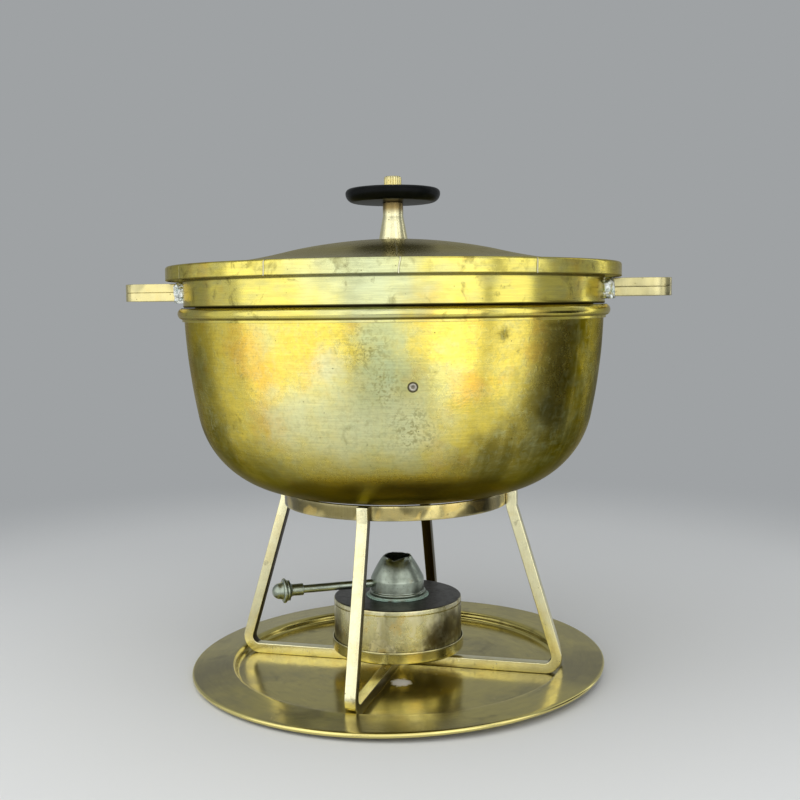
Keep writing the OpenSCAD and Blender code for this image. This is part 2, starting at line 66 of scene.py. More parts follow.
def roundedBox(inner, outer, low, high, edge):
    # section of a bar or a ring's wall with its four edges eased
    left, right, bottom, top = inner + edge, outer - edge, low + edge, high - edge
    centres = [(right, bottom), (right, top), (left, top), (left, bottom)]
    return [p for i, centre in enumerate(centres) for p in arc(centre, edge, 90 * i - 90, 90 * i, 4)]


def ripple(point, length, depth, seed):
    # unevenness of worked metal: length across a wave and its depth, in millimetres
    return depth * noise.noise(Vector(point) / length + Vector((seed, 2 * seed, 3 * seed)))


def uneven(length, depth, seed, keepAxis=False):
    # shape of a turned piece that is a little out of round; keepAxis leaves points on the axis there
    return lambda r, z, spot: (r + ripple(spot, length, depth, seed) * (r > 0 or not keepAxis), z)


def corners(node):
    # lowest and highest corner of a node, in millimetres
    return [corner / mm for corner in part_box(node)]


def roundSpan(node):
    # radius, lowest and highest point of a round node
    low, high = corners(node)
    return high.x, low.z, high.z


def showMesh(name, bm, node, material, sharp=40):
    bmesh.ops.remove_doubles(bm, verts=bm.verts, dist=1e-7)
    bmesh.ops.recalc_face_normals(bm, faces=bm.faces)
    mesh = bpy.data.meshes.new(name)
    bm.to_mesh(mesh)
    bm.free()
    mesh.shade_smooth()
    mesh.set_sharp_from_angle(angle=radians(sharp))
    mesh.materials.append(material)
    piece = bpy.data.objects.new(name, mesh)
    scene.collection.objects.link(piece)
    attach(piece, bodyOf[node])
    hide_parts(node)


def joinRings(bm, rings, skip=()):
    # faces between neighbouring rings of points
    for here, there in zip(rings, rings[1:]):
        for j in range(len(here)):
            k = (j + 1) % len(here)
            if j not in skip:
                bm.faces.new((here[j], here[k], there[k], there[j]))


def lathe(name, node, profile, material, steps, shape=None, place=None):
    # turns a closed profile; shape may shift a point, place puts a piece on its own axis
    bm = bmesh.new()
    rings = []
    for i in range(steps):
        c, s = cos(2 * pi * i / steps), sin(2 * pi * i / steps)
        ring = []
        for r, z in profile:
            if shape:
                r, z = shape(r, z, (r * c, r * s, z))
            point = Vector((r * c, r * s, z)) * mm
            ring.append(bm.verts.new(place @ point if place else point))
        rings.append(ring)
    onAxis = {j for j, p in enumerate(profile) if max(p[0], profile[(j + 1) % len(profile)][0]) <= 0}
    joinRings(bm, rings + rings[:1], onAxis)
    showMesh(name, bm, node, material)


def tube(bm, rings):
    # a bar or wire closed at both ends
    joinRings(bm, rings)
    bm.faces.new(rings[0])
    bm.faces.new(rings[-1])


def sweepBar(name, node, path, section, place, material, shape):
    # carries a section along a flat path; place turns path and side offsets into a point
    bm = bmesh.new()
    rings = []
    for i, (u, w) in enumerate(path):
        before, after = path[max(i - 1, 0)], path[min(i + 1, len(path) - 1)]
        along = Vector((after[0] - before[0], after[1] - before[1])).normalized()
        offsets = [shape(u, w, a, b) for a, b in section]
        points = [place(u - a * along.y, w + a * along.x, b) for a, b in offsets]
        rings.append([bm.verts.new(Vector(point) * mm) for point in points])
    tube(bm, rings)
    showMesh(name, bm, node, material)


# Materials: masks are made from a place, the point on the piece in millimetres

def linear(colour):
    # sRGB hex to linear light
    parts = [int(colour[i:i + 2], 16) / 255 for i in (1, 3, 5)]
    return tuple(c / 12.92 if c <= 0.04045 else ((c + 0.055) / 1.055) ** 2.4 for c in parts) + (1.0,)


def addNode(owner, kind, links=None, out=0, **settings):
    # adds a node to its owner's tree, sets or links its inputs and gives one of its outputs
    tree = owner.id_data
    node = tree.nodes.new("ShaderNode" + kind)
    for key, value in settings.items():
        setattr(node, key, value)
    for key, value in (links or {}).items():
        if isinstance(value, bpy.types.NodeSocket):
            tree.links.new(value, node.inputs[key])
        else:
            node.inputs[key].default_value = value
    return node.outputs[out] if node.outputs else None


def newMaterial(name):
    material = bpy.data.materials.new(name)
    material.use_nodes = True
    tree = material.node_tree
    tree.nodes.clear()
    coords = addNode(tree, "TexCoord", out="Object")
    return material, addNode(tree, "VectorMath", {0: coords, "Scale": 1 / mm}, operation="SCALE")


def patches(place, size, low, high, seed, distortion=0.0, detail=4):
    # soft patches of about a size in millimetres
    grain = addNode(place, "TexNoise", {"Vector": place, "W": seed, "Scale": 1 / size, "Detail": detail,
                                       "Roughness": 0.6, "Distortion": distortion}, noise_dimensions="4D")
    return addNode(place, "MapRange", {0: grain, 1: low, 2: high}, interpolation_type="SMOOTHSTEP")


def fromAxis(place):
    # the way outwards from the upright axis, and how far
    flat = addNode(place, "VectorMath", {0: place, 1: (1, 1, 0)}, operation="MULTIPLY")
    way = addNode(place, "VectorMath", {0: flat}, operation="NORMALIZE")
    return way, addNode(place, "VectorMath", {0: flat}, "Value", operation="LENGTH")


def spinMarks(place, spacing, breaks=9.0, low=0.3, high=0.7):
    # marks round the upright axis with no seam; breaks is how often a mark ends in a turn
    way, away = fromAxis(place)
    around = addNode(place, "VectorMath", {0: way, "Scale": breaks}, operation="SCALE")
    out = addNode(place, "Math", {0: away, 1: 1 / spacing}, operation="MULTIPLY")
    lift = addNode(place, "CombineXYZ", {2: out})
    spot = addNode(place, "VectorMath", {0: around, 1: lift}, operation="ADD")
    up = addNode(place, "SeparateXYZ", {0: place}, 2)
    up = addNode(place, "Math", {0: up, 1: 1 / spacing}, operation="MULTIPLY")
    grain = addNode(place, "TexNoise", {"Vector": spot, "W": up, "Scale": 1.0, "Detail": 3.0},
                    noise_dimensions="4D")
    return addNode(place, "MapRange", {0: grain, 1: low, 2: high})


def streaks(place, lean, length, width, share, seed):
    # thin scratches: lean in degrees about X, Y and Z, length and width in millimetres
    turned = addNode(place, "VectorRotate", {"Vector": place, "Rotation": [radians(a) for a in lean]},
                     rotation_type="EULER_XYZ")
    fineness = (1 / length, 1 / width, 1 / width)
    drawn = addNode(place, "VectorMath", {0: turned, 1: fineness}, operation="MULTIPLY")
    grain = addNode(place, "TexNoise", {"Vector": drawn, "W": seed, "Scale": 1.0, "Detail": 1.0},
                    noise_dimensions="4D")
    return addNode(place, "MapRange", {0: grain, 1: 1 - share, 2: 1 - share + 0.05})


def pits(place, spacing, radius, kept):
    # small round specks; kept is the share of places that have one
    away = addNode(place, "TexVoronoi", {"Vector": place, "Scale": 1 / spacing}, "Distance")
    dot = addNode(place, "MapRange", {0: away, 1: 0.5 * radius / spacing, 2: radius / spacing, 3: 1.0, 4: 0.0})
    pick = addNode(place, "SeparateXYZ", {0: away.node.outputs["Color"]})
    chosen = addNode(place, "Math", {0: pick, 1: kept}, operation="LESS_THAN")
    return addNode(place, "Math", {0: dot, 1: chosen}, operation="MULTIPLY")


def spread(place, centre, size, soft):
    # one stain round a point, with a ragged edge
    away = addNode(place, "VectorMath", {0: place, 1: centre}, "Value", operation="DISTANCE")
    edge = addNode(place, "TexNoise", {"Vector": place, "Scale": 3 / size, "Detail": 4.0})
    ragged = addNode(place, "Math", {0: edge, 1: size, 2: -0.5 * size}, operation="MULTIPLY_ADD")
    total = addNode(place, "Math", {0: away, 1: ragged}, operation="ADD")
    return addNode(place, "MapRange", {0: total, 1: size * (1 - soft), 2: size, 3: 1.0, 4: 0.0},
                   interpolation_type="SMOOTHSTEP")


def heightRamp(place, low, high, below=0.0, above=1.0):
    # goes from one value to another between two heights
    up = addNode(place, "SeparateXYZ", {0: place}, 2)
    return addNode(place, "MapRange", {0: up, 1: low, 2: high, 3: below, 4: above},
                   interpolation_type="SMOOTHSTEP")


def heightBand(place, low, high, soft):
    # two masks that meet between two heights
    return heightRamp(place, low - soft, low + soft), heightRamp(place, high - soft, high + soft, 1.0, 0.0)


def crackLine(place, turn, start, width):
    # one fine crack that runs outwards at a turn seen from above, from a start to the edge
    x, y = cos(radians(turn)), sin(radians(turn))
    along = addNode(place, "VectorMath", {0: place, 1: (x, y, 0)}, "Value", operation="DOT_PRODUCT")
    across = addNode(place, "VectorMath", {0: place, 1: (-y, x, 0)}, "Value", operation="DOT_PRODUCT")
    wander, wave = 3.0, 14  # how far it sways to and fro, in what length
    sway = addNode(place, "TexNoise", {"Vector": place, "Scale": 1 / wave, "Detail": 2.0})
    off = addNode(place, "Math", {0: sway, 1: wander, 2: across}, operation="MULTIPLY_ADD")
    off = addNode(place, "Math", {0: off, 1: wander / 2}, operation="SUBTRACT")
    off = addNode(place, "Math", {0: off}, operation="ABSOLUTE")
    near = addNode(place, "MapRange", {0: off, 1: 0.4 * width, 2: width, 3: 1.0, 4: 0.0})
    begun = addNode(place, "MapRange", {0: along, 1: start, 2: start + 4})
    return addNode(place, "Math", {0: near, 1: begun}, operation="MULTIPLY")


def stains(place, spots, soft, share, tint, rough, *within):
    # a coat for each point and size in a list, kept within other masks
    return [((spread(place, at, size, soft), *within), share, tint, rough) for at, size in spots]


def layCoats(tree, look, colour, rough, coats):
    # coats over a ground: mask or masks that meet, strength, colour by its name and roughness of each
    for masks, share, tint, roughness in coats:
        for mask in masks if isinstance(masks, tuple) else (masks,):
            share = addNode(tree, "Math", {0: mask, 1: share}, operation="MULTIPLY")
        colour = addNode(tree, "Mix", {0: share, 6: colour, 7: linear(look[tint])}, 2, data_type="RGBA")
        rough = addNode(tree, "Mix", {0: share, 2: rough, 3: roughness}, data_type="FLOAT")
    return colour, rough


def surface(material, look, coats, heights, tone=None, late=(), metallic=1.0, anisotropic=0.0, specular=0.5):
    # tone darkens and lightens along a mark and late coats lie over it; heights are marks and depths
    tree = material.node_tree
    colour, rough = layCoats(tree, look, linear(look["clean"]), look["rough"], coats)
    if tone:
        shade = addNode(tree, "MapRange", {0: tone[0], 3: tone[1], 4: tone[2]})
        colour = addNode(tree, "Mix", {0: 1.0, 6: colour, 7: shade}, 2, data_type="RGBA", blend_type="MULTIPLY")
    colour, rough = layCoats(tree, look, colour, rough, late)
    links = {"Base Color": colour, "Metallic": metallic, "Roughness": rough, "Anisotropic": anisotropic,
             "Specular IOR Level": specular, "Specular Tint": linear(look.get("edge", "#ffffff"))}
    for mark, depth in heights:
        under = {"Normal": links["Normal"]} if "Normal" in links else {}
        bump = {"Height": mark, "Distance": depth * mm, "Strength": 1.0, **under}
        links["Normal"] = addNode(tree, "Bump", bump)
    if anisotropic:
        links["Tangent"] = addNode(tree, "Tangent", direction_type="RADIAL", axis="Z")
    addNode(tree, "OutputMaterial", {"Surface": addNode(tree, "BsdfPrincipled", links)})
    return material


# Spun sheet brass, rubbed with polish for years: lemon gold where it is bright, grey-green film; the brown
# flanks and dark base are painted shade, and pale patches at the front are partly painted reflection
bowlBrassLook = {
    "clean": "#e6d05a", "amber": "#e3b148", "film": "#bcc99c", "pale": "#dcdca8", "olive": "#8a8140",
    "shade": "#4d4718", "dark": "#6c662b", "pit": "#4a4426", "rubbed": "#f2e58c", "scratch": "#f6f0b4",
    "nick": "#f3e9a4", "rough": 0.2,
    "edge": "#b8b29e",  # dims what tarnish reflects at a low angle
    "paintedShadeBelow": (138, 184),  # heights between which the base turns dark, painted shade on the low bowl
    "spinSpacing": 0.9,  # drawn coarser than the real 0.3 mm so that it shows
    # stains: where and how large
    "amberAt": [((-80, -124, 238), 27), ((-66, -130, 222), 22), ((-24, -144, 230), 13), ((-62, -126, 194), 24),
                ((63, -132, 214), 16)],
    # painted reflection, partly film: pale patches at the front middle stand in for the hazy reflection there
    "filmAndPaintedReflectionAt": [((10, -147, 248), 25), ((10, -144, 226), 24), ((4, -141, 200), 34)],
    "palePaintedReflectionAt": [((-46, -130, 196), 34), ((-16, -138, 190), 46), ((24, -138, 190), 40), ((-22, -145, 226), 20)],
    "mottleAt": [((0, -146, 238), 20), ((10, -144, 216), 16), ((28, -138, 190), 20)],
    # painted shade: olive stains at the edges stand in for the darker reflection seen there at a low angle
    "paintedOliveShadeAt": [((-122, -84, 222), 36), ((-104, -88, 180), 36), ((-140, -44, 226), 34), ((-70, -104, 162), 34),
                ((104, -104, 206), 36)],
    # painted shade: dark stains on the flanks and low sides, in place of dark reflections
    "paintedShadeAt": [((128, -74, 250), 34), ((125, -74, 218), 42), ((106, -80, 182), 54), ((72, -108, 166), 40),
                ((146, -26, 236), 32), ((136, -22, 200), 38), ((122, -56, 178), 44), ((104, -70, 162), 44),
                ((-96, -76, 168), 34), ((-116, -52, 178), 36), ((80, -122, 246), 7)],
    "scratchAt": ((-112, -74, 194), 24),
}


def makeBowlBrass():
    look = bowlBrassLook
    material, place = newMaterial("spun brass, aged polish")
    spin = spinMarks(place, look["spinSpacing"])
    fine = patches(place, 5, 0.45, 0.75, 4, 0.8)
    speckle = patches(place, 2.6, 0.46, 0.62, 7, 1.0)
    scratch = streaks(place, (10, -72, 20), 26, 0.6, 0.42, 9)
    return surface(material, look, [
        (patches(place, 46, 0.5, 0.68, 2, 0.6), 0.4, "film", 0.32),
        (patches(place, 30, 0.54, 0.7, 1), 0.45, "amber", 0.22),
        # painted shade: the next two coats darken the edges and flanks
        *stains(place, look["paintedOliveShadeAt"], 0.95, 0.7, "olive", 0.3),
        *stains(place, look["paintedShadeAt"], 0.95, 0.84, "shade", 0.3),
        *stains(place, look["amberAt"], 0.95, 0.65, "amber", 0.22),
        # painted reflection, partly film: pale patches at the front middle
        *stains(place, look["filmAndPaintedReflectionAt"], 0.85, 0.75, "film", 0.36),
        *stains(place, look["palePaintedReflectionAt"], 0.95, 0.85, "pale", 0.36),
        *stains(place, look["mottleAt"], 0.9, 0.6, "olive", 0.36, speckle),
        *stains(place, [look["scratchAt"]], 0.6, 0.8, "scratch", 0.14, scratch),
        (spinMarks(place, 9, 7, 0.46, 0.66), 0.12, "film", 0.36),
        (spinMarks(place, 80, 34, 0.52, 0.74), 0.14, "rubbed", 0.16),
        (fine, 0.26, "film", 0.4),
        (speckle, 0.16, "olive", 0.36),
        (patches(place, 16, 0.6, 0.74, 5, 1.4), 0.5, "olive", 0.32),
        (patches(place, 3.2, 0.66, 0.76, 6), 0.5, "pit", 0.4),
        (streaks(place, (8, 25, 14), 30, 0.5, 0.3, 3), 0.4, "nick", 0.15),
        (streaks(place, (4, -50, -8), 22, 0.4, 0.29, 13), 0.4, "nick", 0.15),
        (pits(place, 5, 0.5, 0.2), 0.8, "pit", 0.5),
        # painted shade: the low bowl darkened below these heights
        (heightRamp(place, *look["paintedShadeBelow"], 1.0, 0.0), 0.85, "dark", 0.32),
    ], [(spin, 0.008), (fine, 0.03)], (spin, 0.9, 1.08), anisotropic=0.3)


# The same brass where hands and cloth keep it bright: collar, bead and lid; the lid's dome is dull and cracked
brightBrassLook = {
    "clean": "#e4d568", "amber": "#d3a53d", "film": "#a9ac80", "pale": "#d2dbb0", "brown": "#5c5326",
    "dome": "#9b945e", "nick": "#f5ecab", "crack": "#3f391f", "mend": "#e9e4c4", "rough": 0.16,
    "edge": "#d6d0bc",  # dims what it reflects at a low angle
    "spinSpacing": 0.8,  # drawn coarser than the real 0.3 mm so that it shows
    # painted reflection, partly pale film: pale patches at the front of the band and collar
    "palePaintedReflectionAt": [((-14, -159, 288), 52), ((16, -159, 286), 40), ((4, -149, 272), 40)],
    "paintedCreaseShade": "#2b250d",  # painted shade in the creases between parts and under the lid's edge, between heights and with a strength
    "panCreaseShade": [(263.2, 265.2, 0.9), (281.2, 282.6, 0.7)],
    "beadCreaseShade": [(263.1, 264, 0.9), (255.7, 257.2, 0.6)], "lidEdgeShade": [(281.8, 283.0, 0.7)],
    "cracks": [(-142.5, 60), (-111.8, 120), (-82.0, 10), (-50.9, 60)],  # turn and start of each
    "crackWide": 0.9,
}


def makeBrightBrass(name, creaseShadeAt, domeFrom=None):
    look = brightBrassLook
    material, place = newMaterial(name)
    spin = spinMarks(place, look["spinSpacing"])
    coats = [
        (patches(place, 30, 0.5, 0.68, 11), 0.4, "amber", 0.2),
        (patches(place, 38, 0.48, 0.66, 12), 0.3, "film", 0.32),
        # painted reflection, partly pale film, at the front
        *stains(place, look["palePaintedReflectionAt"], 0.9, 0.55, "pale", 0.26),
        (spinMarks(place, 5, 9, 0.46, 0.66), 0.35, "film", 0.3),
        (patches(place, 13, 0.56, 0.7, 13, 1.2), 0.5, "brown", 0.3),
        (streaks(place, (0, 15, 40), 24, 0.4, 0.3, 5), 0.3, "nick", 0.12),
        (pits(place, 4, 0.45, 0.2), 0.7, "brown", 0.5),
        # painted shade: dark bands in the creases, between heights
        *[(heightBand(place, low, high, 0.35), share, "paintedCreaseShade", 0.5) for low, high, share in creaseShadeAt],
    ]
    heights = [(spin, 0.005)]
    if domeFrom:
        coats.append((heightRamp(place, domeFrom - 0.6, domeFrom), 0.7, "dome", 0.3))
        coats.append((patches(place, 7, 0.5, 0.72, 14, 0.6), 0.35, "brown", 0.36))
        for turn, start in look["cracks"]:
            crack = crackLine(place, turn, start, look["crackWide"])
            mend = crackLine(place, turn, start, 0.45 * look["crackWide"])  # bright solder run into it
            coats += [(crack, 0.6, "crack", 0.5), (mend, 0.85, "mend", 0.3)]
            heights.append((crack, -0.15))
    return surface(material, look, coats, heights, (spin, 0.9, 1.08), anisotropic=0.3)


# Drawn brass bar, filed and rubbed: pale bright faces, brown left in corners and nicks. The legs are browned by
# heat and have painted shade on faces turned inwards and to the right; the rolled ring and spun cup are
# smoother with dull patches, the handles are satin, and the turned stem has hardly any drawing lines and
# painted shade below its disc
barBrassLook = {
    "clean": "#ebe5b8", "amber": "#d8bc66", "grey": "#c3bd95", "brown": "#5d5226", "dull": "#8d8862",
    "nick": "#f6efc4", "worn": "#f7f0c8", "paintedDiscShade": "#7d6124", "rough": 0.24, "grain": 0.25, "dullAt": [],
}
legBrassLook = {**barBrassLook, "brown": "#33290f"}
ringBrassLook = {**barBrassLook, "clean": "#cbbb7a", "amber": "#d3b765", "grey": "#87805b", "dull": "#4d4729",
                 "rough": 0.16, "grain": 0.03}
cupBrassLook = {**ringBrassLook, "clean": "#e0d792", "dull": "#7a7346"}
handleBrassLook = {**barBrassLook, "clean": "#d2c480", "grey": "#aca577", "dull": "#857f54", "grain": 0.05,
                   "dullAt": [((182, -20, 275), 44), ((160, -30, 275), 30)]}
stemBrassLook = {**barBrassLook, "grain": 0.06}


def makeBarBrass(name, look, discShadeFrom=None, dulled=0.0, heatAndShade=0.0):
    material, place = newMaterial(name)
    along = streaks(place, (0, 0, 0), 0.5, 14, 0.45, 2)
    mottle = patches(place, 6, 0.4, 0.7, 22)
    worn = addNode(place, "NewGeometry", out="Pointiness")
    coats = [
        (patches(place, 20, 0.46, 0.7, 21), 0.4, "amber", 0.26),
        (mottle, 0.3, "grey", 0.34),
        (patches(place, 24, 0.44, 0.54, 24, detail=1), dulled, "dull", 0.26),
        (patches(place, 15, 0.56, 0.62, 25, detail=1), 0.7 * dulled, "amber", 0.2),
        *stains(place, look["dullAt"], 0.8, 0.6, "dull", 0.34),
        (patches(place, 10, 0.6, 0.74, 23, 1.5), 0.5, "brown", 0.36),
        (along, look["grain"], "nick", 0.16),
        (addNode(place, "MapRange", {0: worn, 1: 0.5, 2: 0.56}), 0.5, "worn", 0.14),
        (pits(place, 2.5, 0.5, 0.16), 0.7, "brown", 0.5),
    ]
    # painted shade: the top of a stem darkened below the disc over it
    if discShadeFrom:
        coats.append((heightRamp(place, discShadeFrom - 3, discShadeFrom + 3), 0.85, "paintedDiscShade", 0.3))
    if heatAndShade:
        # faces turned to the burner are browned by its heat and carry painted shade, and faces turned to the
        # right get painted shade
        facing = addNode(place, "TexCoord", out="Normal")
        for lean in (0, -0.85):
            way = addNode(place, "VectorMath", {0: fromAxis(place)[0], 1: (lean, 0, 0)}, operation="ADD")
            turned = addNode(place, "VectorMath", {0: facing, 1: way}, "Value", operation="DOT_PRODUCT")
            inner = addNode(place, "MapRange", {0: turned, 1: -0.8, 2: -0.4, 3: 1.0, 4: 0.0})
            coats.append((inner, heatAndShade, "brown", 0.4))
    return surface(material, look, coats, [(mottle, 0.02), (along, 0.04 * look["grain"])])


# Spun tray brass that is seldom polished: khaki film over a clear shine, rubbed streaks and brown spots
trayBrassLook = {
    "clean": "#cbbd6c", "film": "#a59c6b", "brown": "#6d6130", "bright": "#e6d98c", "dull": "#7b7354",
    "spill": "#e6e2dc", "rough": 0.15,
    "spinSpacing": 1.1,  # drawn coarser than the real 0.3 mm so that it shows
    "dullAt": [((-130, -46, 7), 62), ((136, -24, 7), 66)], "spillAt": ((7, -45, 1.2), 9),
    "rubbedAndHighlightFrom": (148.3, 149.2),  # distances from the middle between which the wired edge turns bright: rubbed wear and painted highlight
}


def makeTrayBrass():
    look = trayBrassLook
    material, place = newMaterial("spun brass, seldom polished")
    spin = spinMarks(place, look["spinSpacing"])
    scrub = patches(place, 7, 0.42, 0.72, 31, 0.8)
    spill = spread(place, *look["spillAt"], 0.4)
    start, end = look["rubbedAndHighlightFrom"]
    # the bright wired edge is rubbed wear and painted highlight
    rubbed = addNode(place, "MapRange", {0: fromAxis(place)[1], 1: start, 2: end})
    bare = addNode(place, "Math", {0: 1.0, 1: spill}, operation="SUBTRACT")
    return surface(material, look, [
        (patches(place, 55, 0.42, 0.64, 32), 0.65, "film", 0.22),
        (patches(place, 26, 0.55, 0.72, 33, 1.0), 0.5, "brown", 0.26),
        (spinMarks(place, 6, 5, 0.46, 0.66), 0.3, "film", 0.26),
        (scrub, 0.2, "film", 0.3),
        (streaks(place, (0, 0, 32), 34, 0.5, 0.31, 6), 0.35, "bright", 0.16),
        (streaks(place, (0, 0, -58), 26, 0.4, 0.31, 7), 0.3, "bright", 0.16),
        (patches(place, 3, 0.68, 0.76, 34), 0.6, "brown", 0.4),
        (pits(place, 6, 0.6, 0.15), 0.7, "brown", 0.5),
        *stains(place, look["dullAt"], 0.9, 0.6, "dull", 0.24),
        (spill, 0.85, "spill", 0.6),
    ], [(spin, 0.004), (scrub, 0.01)], (spin, 0.92, 1.06), [(rubbed, 0.8, "bright", 0.16)],
        metallic=bare, anisotropic=0.15)


# Burner sheet brass, wetted with spirit and heated: pale blotches, runs, brown heat stain and painted shade on
# the right;
# its top plate is blackened by heat, with brown-grey scale and a bright rubbed edge
burnerBrassLook = {
    "clean": "#dcd6a4", "film": "#b4b08c", "brown": "#4c4020", "pale": "#eae4c2", "golden": "#dcc070",
    "pit": "#3a3220", "hot": "#504e47", "ash": "#62605a", "scale": "#34302a", "soot": "#23201c",
    "worn": "#d6cda0", "rough": 0.26,
    # brown stains, mostly on the can's right side, partly painted shade
    "brownStainAndShadeAt": [((40, -24, 36), 21), ((46, -2, 34), 22), ((-42, -20, 30), 15), ((30, -36, 30), 14)],
    "damp": (14, 27, 5),  # heights between which the can is mottled, and how softly
}


def makeBurnerBrass(name, top=None):
    look = burnerBrassLook
    material, place = newMaterial(name)
    coats = [
        (patches(place, 18, 0.42, 0.6, 42), 0.65, "film", 0.36),
        (patches(place, 14, 0.48, 0.62, 43, 1.0), 0.7, "pale", 0.34),
        (patches(place, 11, 0.54, 0.68, 44), 0.5, "golden", 0.26),
        (spinMarks(place, 40, 5, 0.52, 0.68), 0.3, "brown", 0.36),
        (patches(place, 7, 0.57, 0.7, 41, 1.6), 0.4, "brown", 0.42),
        ((patches(place, 6, 0.5, 0.6, 46, 1.2), *heightBand(place, *look["damp"])), 0.55, "brown", 0.36),
        *stains(place, look["brownStainAndShadeAt"], 0.85, 0.85, "brown", 0.3),
        (pits(place, 3, 0.45, 0.1), 0.8, "pit", 0.5),
    ]
    if top:
        hot = heightRamp(place, top - 0.55, top - 0.25)
        scale = patches(place, 5, 0.4, 0.7, 51, 1.0)
        worn = addNode(place, "NewGeometry", out="Pointiness")
        worn = addNode(place, "MapRange", {0: worn, 1: 0.51, 2: 0.58})
        coats += [
            (hot, 1.0, "hot", 0.36),
            ((patches(place, 16, 0.4, 0.65, 52), hot), 0.6, "ash", 0.4),
            ((scale, hot), 0.5, "scale", 0.5),
            ((pits(place, 2.5, 0.4, 0.3), hot), 0.6, "soot", 0.6),
            (worn, 0.6, "worn", 0.25),
        ]
        return surface(material, look, coats, [(scale, 0.02)])
    return surface(material, look, coats, [(patches(place, 7, 0.4, 0.7, 45, 1.2), 0.03)])


# Nickel plate worn dull: pewter grey with a green cast, pale where it is handled, verdigris low down
wornNickelLook = {
    "clean": "#a5ae9f", "dull": "#7d8579", "dark": "#5c6157", "brass": "#8a7a58", "pit": "#2d2f2b",
    "rough": 0.3,
    "spinSpacing": 0.7,  # drawn coarser than the real 0.2 mm so that it shows
    "bloom": "#9fc4b4", "bloomBelow": (52.4, 54.6),  # heights between which the verdigris ends
}


def makeWornNickel():
    look = wornNickelLook
    material, place = newMaterial("nickel plate, worn dull")
    spin = spinMarks(place, look["spinSpacing"])
    mottle = patches(place, 4, 0.4, 0.7, 61, 0.8)
    low = heightRamp(place, *look["bloomBelow"], 1.0, 0.0)
    bloom = addNode(place, "Math", {0: low, 1: patches(place, 7, 0.36, 0.55, 64)}, operation="MULTIPLY")
    bare = addNode(place, "Math", {0: 1.0, 1: bloom}, operation="SUBTRACT")
    return surface(material, look, [
        (patches(place, 12, 0.42, 0.66, 62), 0.6, "dull", 0.36),
        (mottle, 0.3, "dark", 0.4),
        (patches(place, 8, 0.58, 0.73, 63), 0.5, "brass", 0.38),
        (pits(place, 2.2, 0.35, 0.3), 0.6, "pit", 0.6),
        (bloom, 0.65, "bloom", 0.7),
    ], [(spin, 0.004), (mottle, 0.015)], metallic=bare)


# Soft solder wiped on by hand: bright lumps, dull grey skin, flux-brown and green hollows
solderLook = {"clean": "#d5dad6", "skin": "#8d918c", "flux": "#4f4c40", "green": "#7fa39a", "rough": 0.28}


def makeSolder():
    look = solderLook
    material, place = newMaterial("soft solder, wiped")
    lump = patches(place, 2.2, 0.35, 0.7, 71, 0.8)
    return surface(material, look, [
        (lump, 0.6, "skin", 0.42),
        (patches(place, 4, 0.52, 0.66, 72), 0.7, "flux", 0.5),
        (patches(place, 3, 0.56, 0.7, 73), 0.6, "green", 0.6),
    ], [(lump, 0.25)])


# Rivet of grey metal: rubbed lip, dark dirt in the groove round it and in its dimple
rivetLook = {"clean": "#b3ada0", "mottle": "#8b8676", "dimple": "#6a6351", "dirt": "#454021", "rough": 0.34,
             "dimpleOut": (1.0, 1.4), "grooveFrom": (2.15, 2.45)}  # distances from the middle of the head


def makeRivetMetal(centre):
    look = rivetLook
    material, place = newMaterial("rivet, rubbed grey")
    away = addNode(place, "VectorMath", {0: place, 1: centre}, "Value", operation="DISTANCE")
    (start, end), (inside, outside) = look["dimpleOut"], look["grooveFrom"]
    dimple = addNode(place, "MapRange", {0: away, 1: start, 2: end, 3: 1.0, 4: 0.0})
    groove = addNode(place, "MapRange", {0: away, 1: inside, 2: outside})
    mottle = patches(place, 1.2, 0.4, 0.7, 75)
    coats = [(mottle, 0.4, "mottle", 0.4), (dimple, 0.8, "dimple", 0.45), (groove, 0.92, "dirt", 0.5)]
    return surface(material, look, coats, [(mottle, 0.05)])


# Pressed phenolic: near black, a soft shine with faint handling haze
phenolicLook = {"clean": "#050707", "haze": "#0d1010", "scuff": "#1b1f1f", "rough": 0.36, "specular": 0.08}


def makePhenolic():
    look = phenolicLook
    material, place = newMaterial("black phenolic, rubbed")
    haze = patches(place, 8, 0.4, 0.7, 81)
    scuffs = streaks(place, (0, 0, 20), 12, 0.3, 0.33, 8)
    coats = [(haze, 0.5, "haze", 0.34), (scuffs, 0.4, "scuff", 0.4)]
    return surface(material, look, coats, [(haze, 0.01)], metallic=0.0, specular=look["specular"])


# Bright-turned steel: grey with fine turning lines
steelLook = {"clean": "#a9a9a8", "dull": "#6f6a60", "rough": 0.3, "spinSpacing": 0.5}


def makeSteel():
    look = steelLook
    material, place = newMaterial("turned steel")
    spin = spinMarks(place, look["spinSpacing"])
    coats = [(patches(place, 3, 0.45, 0.7, 91), 0.5, "dull", 0.45)]
    return surface(material, look, coats, [(spin, 0.004)], (spin, 0.9, 1.08))


# Cotton waste packed by hand: matt cream fibre, browned by spirit
cottonLook = {"clean": "#d8cba9", "brown": "#b59f74", "fibre": "#efe6cf", "rough": 0.9}


def makeCotton():
    look = cottonLook
    material, place = newMaterial("packing cotton")
    fibre = streaks(place, (30, 20, 40), 4, 0.4, 0.5, 12)
    coats = [(patches(place, 9, 0.4, 0.65, 95), 0.6, "brown", 0.9), (fibre, 0.5, "fibre", 0.95)]
    return surface(material, look, coats, [(fibre, 0.2)], metallic=0.0)


bowlBrass = makeBowlBrass()
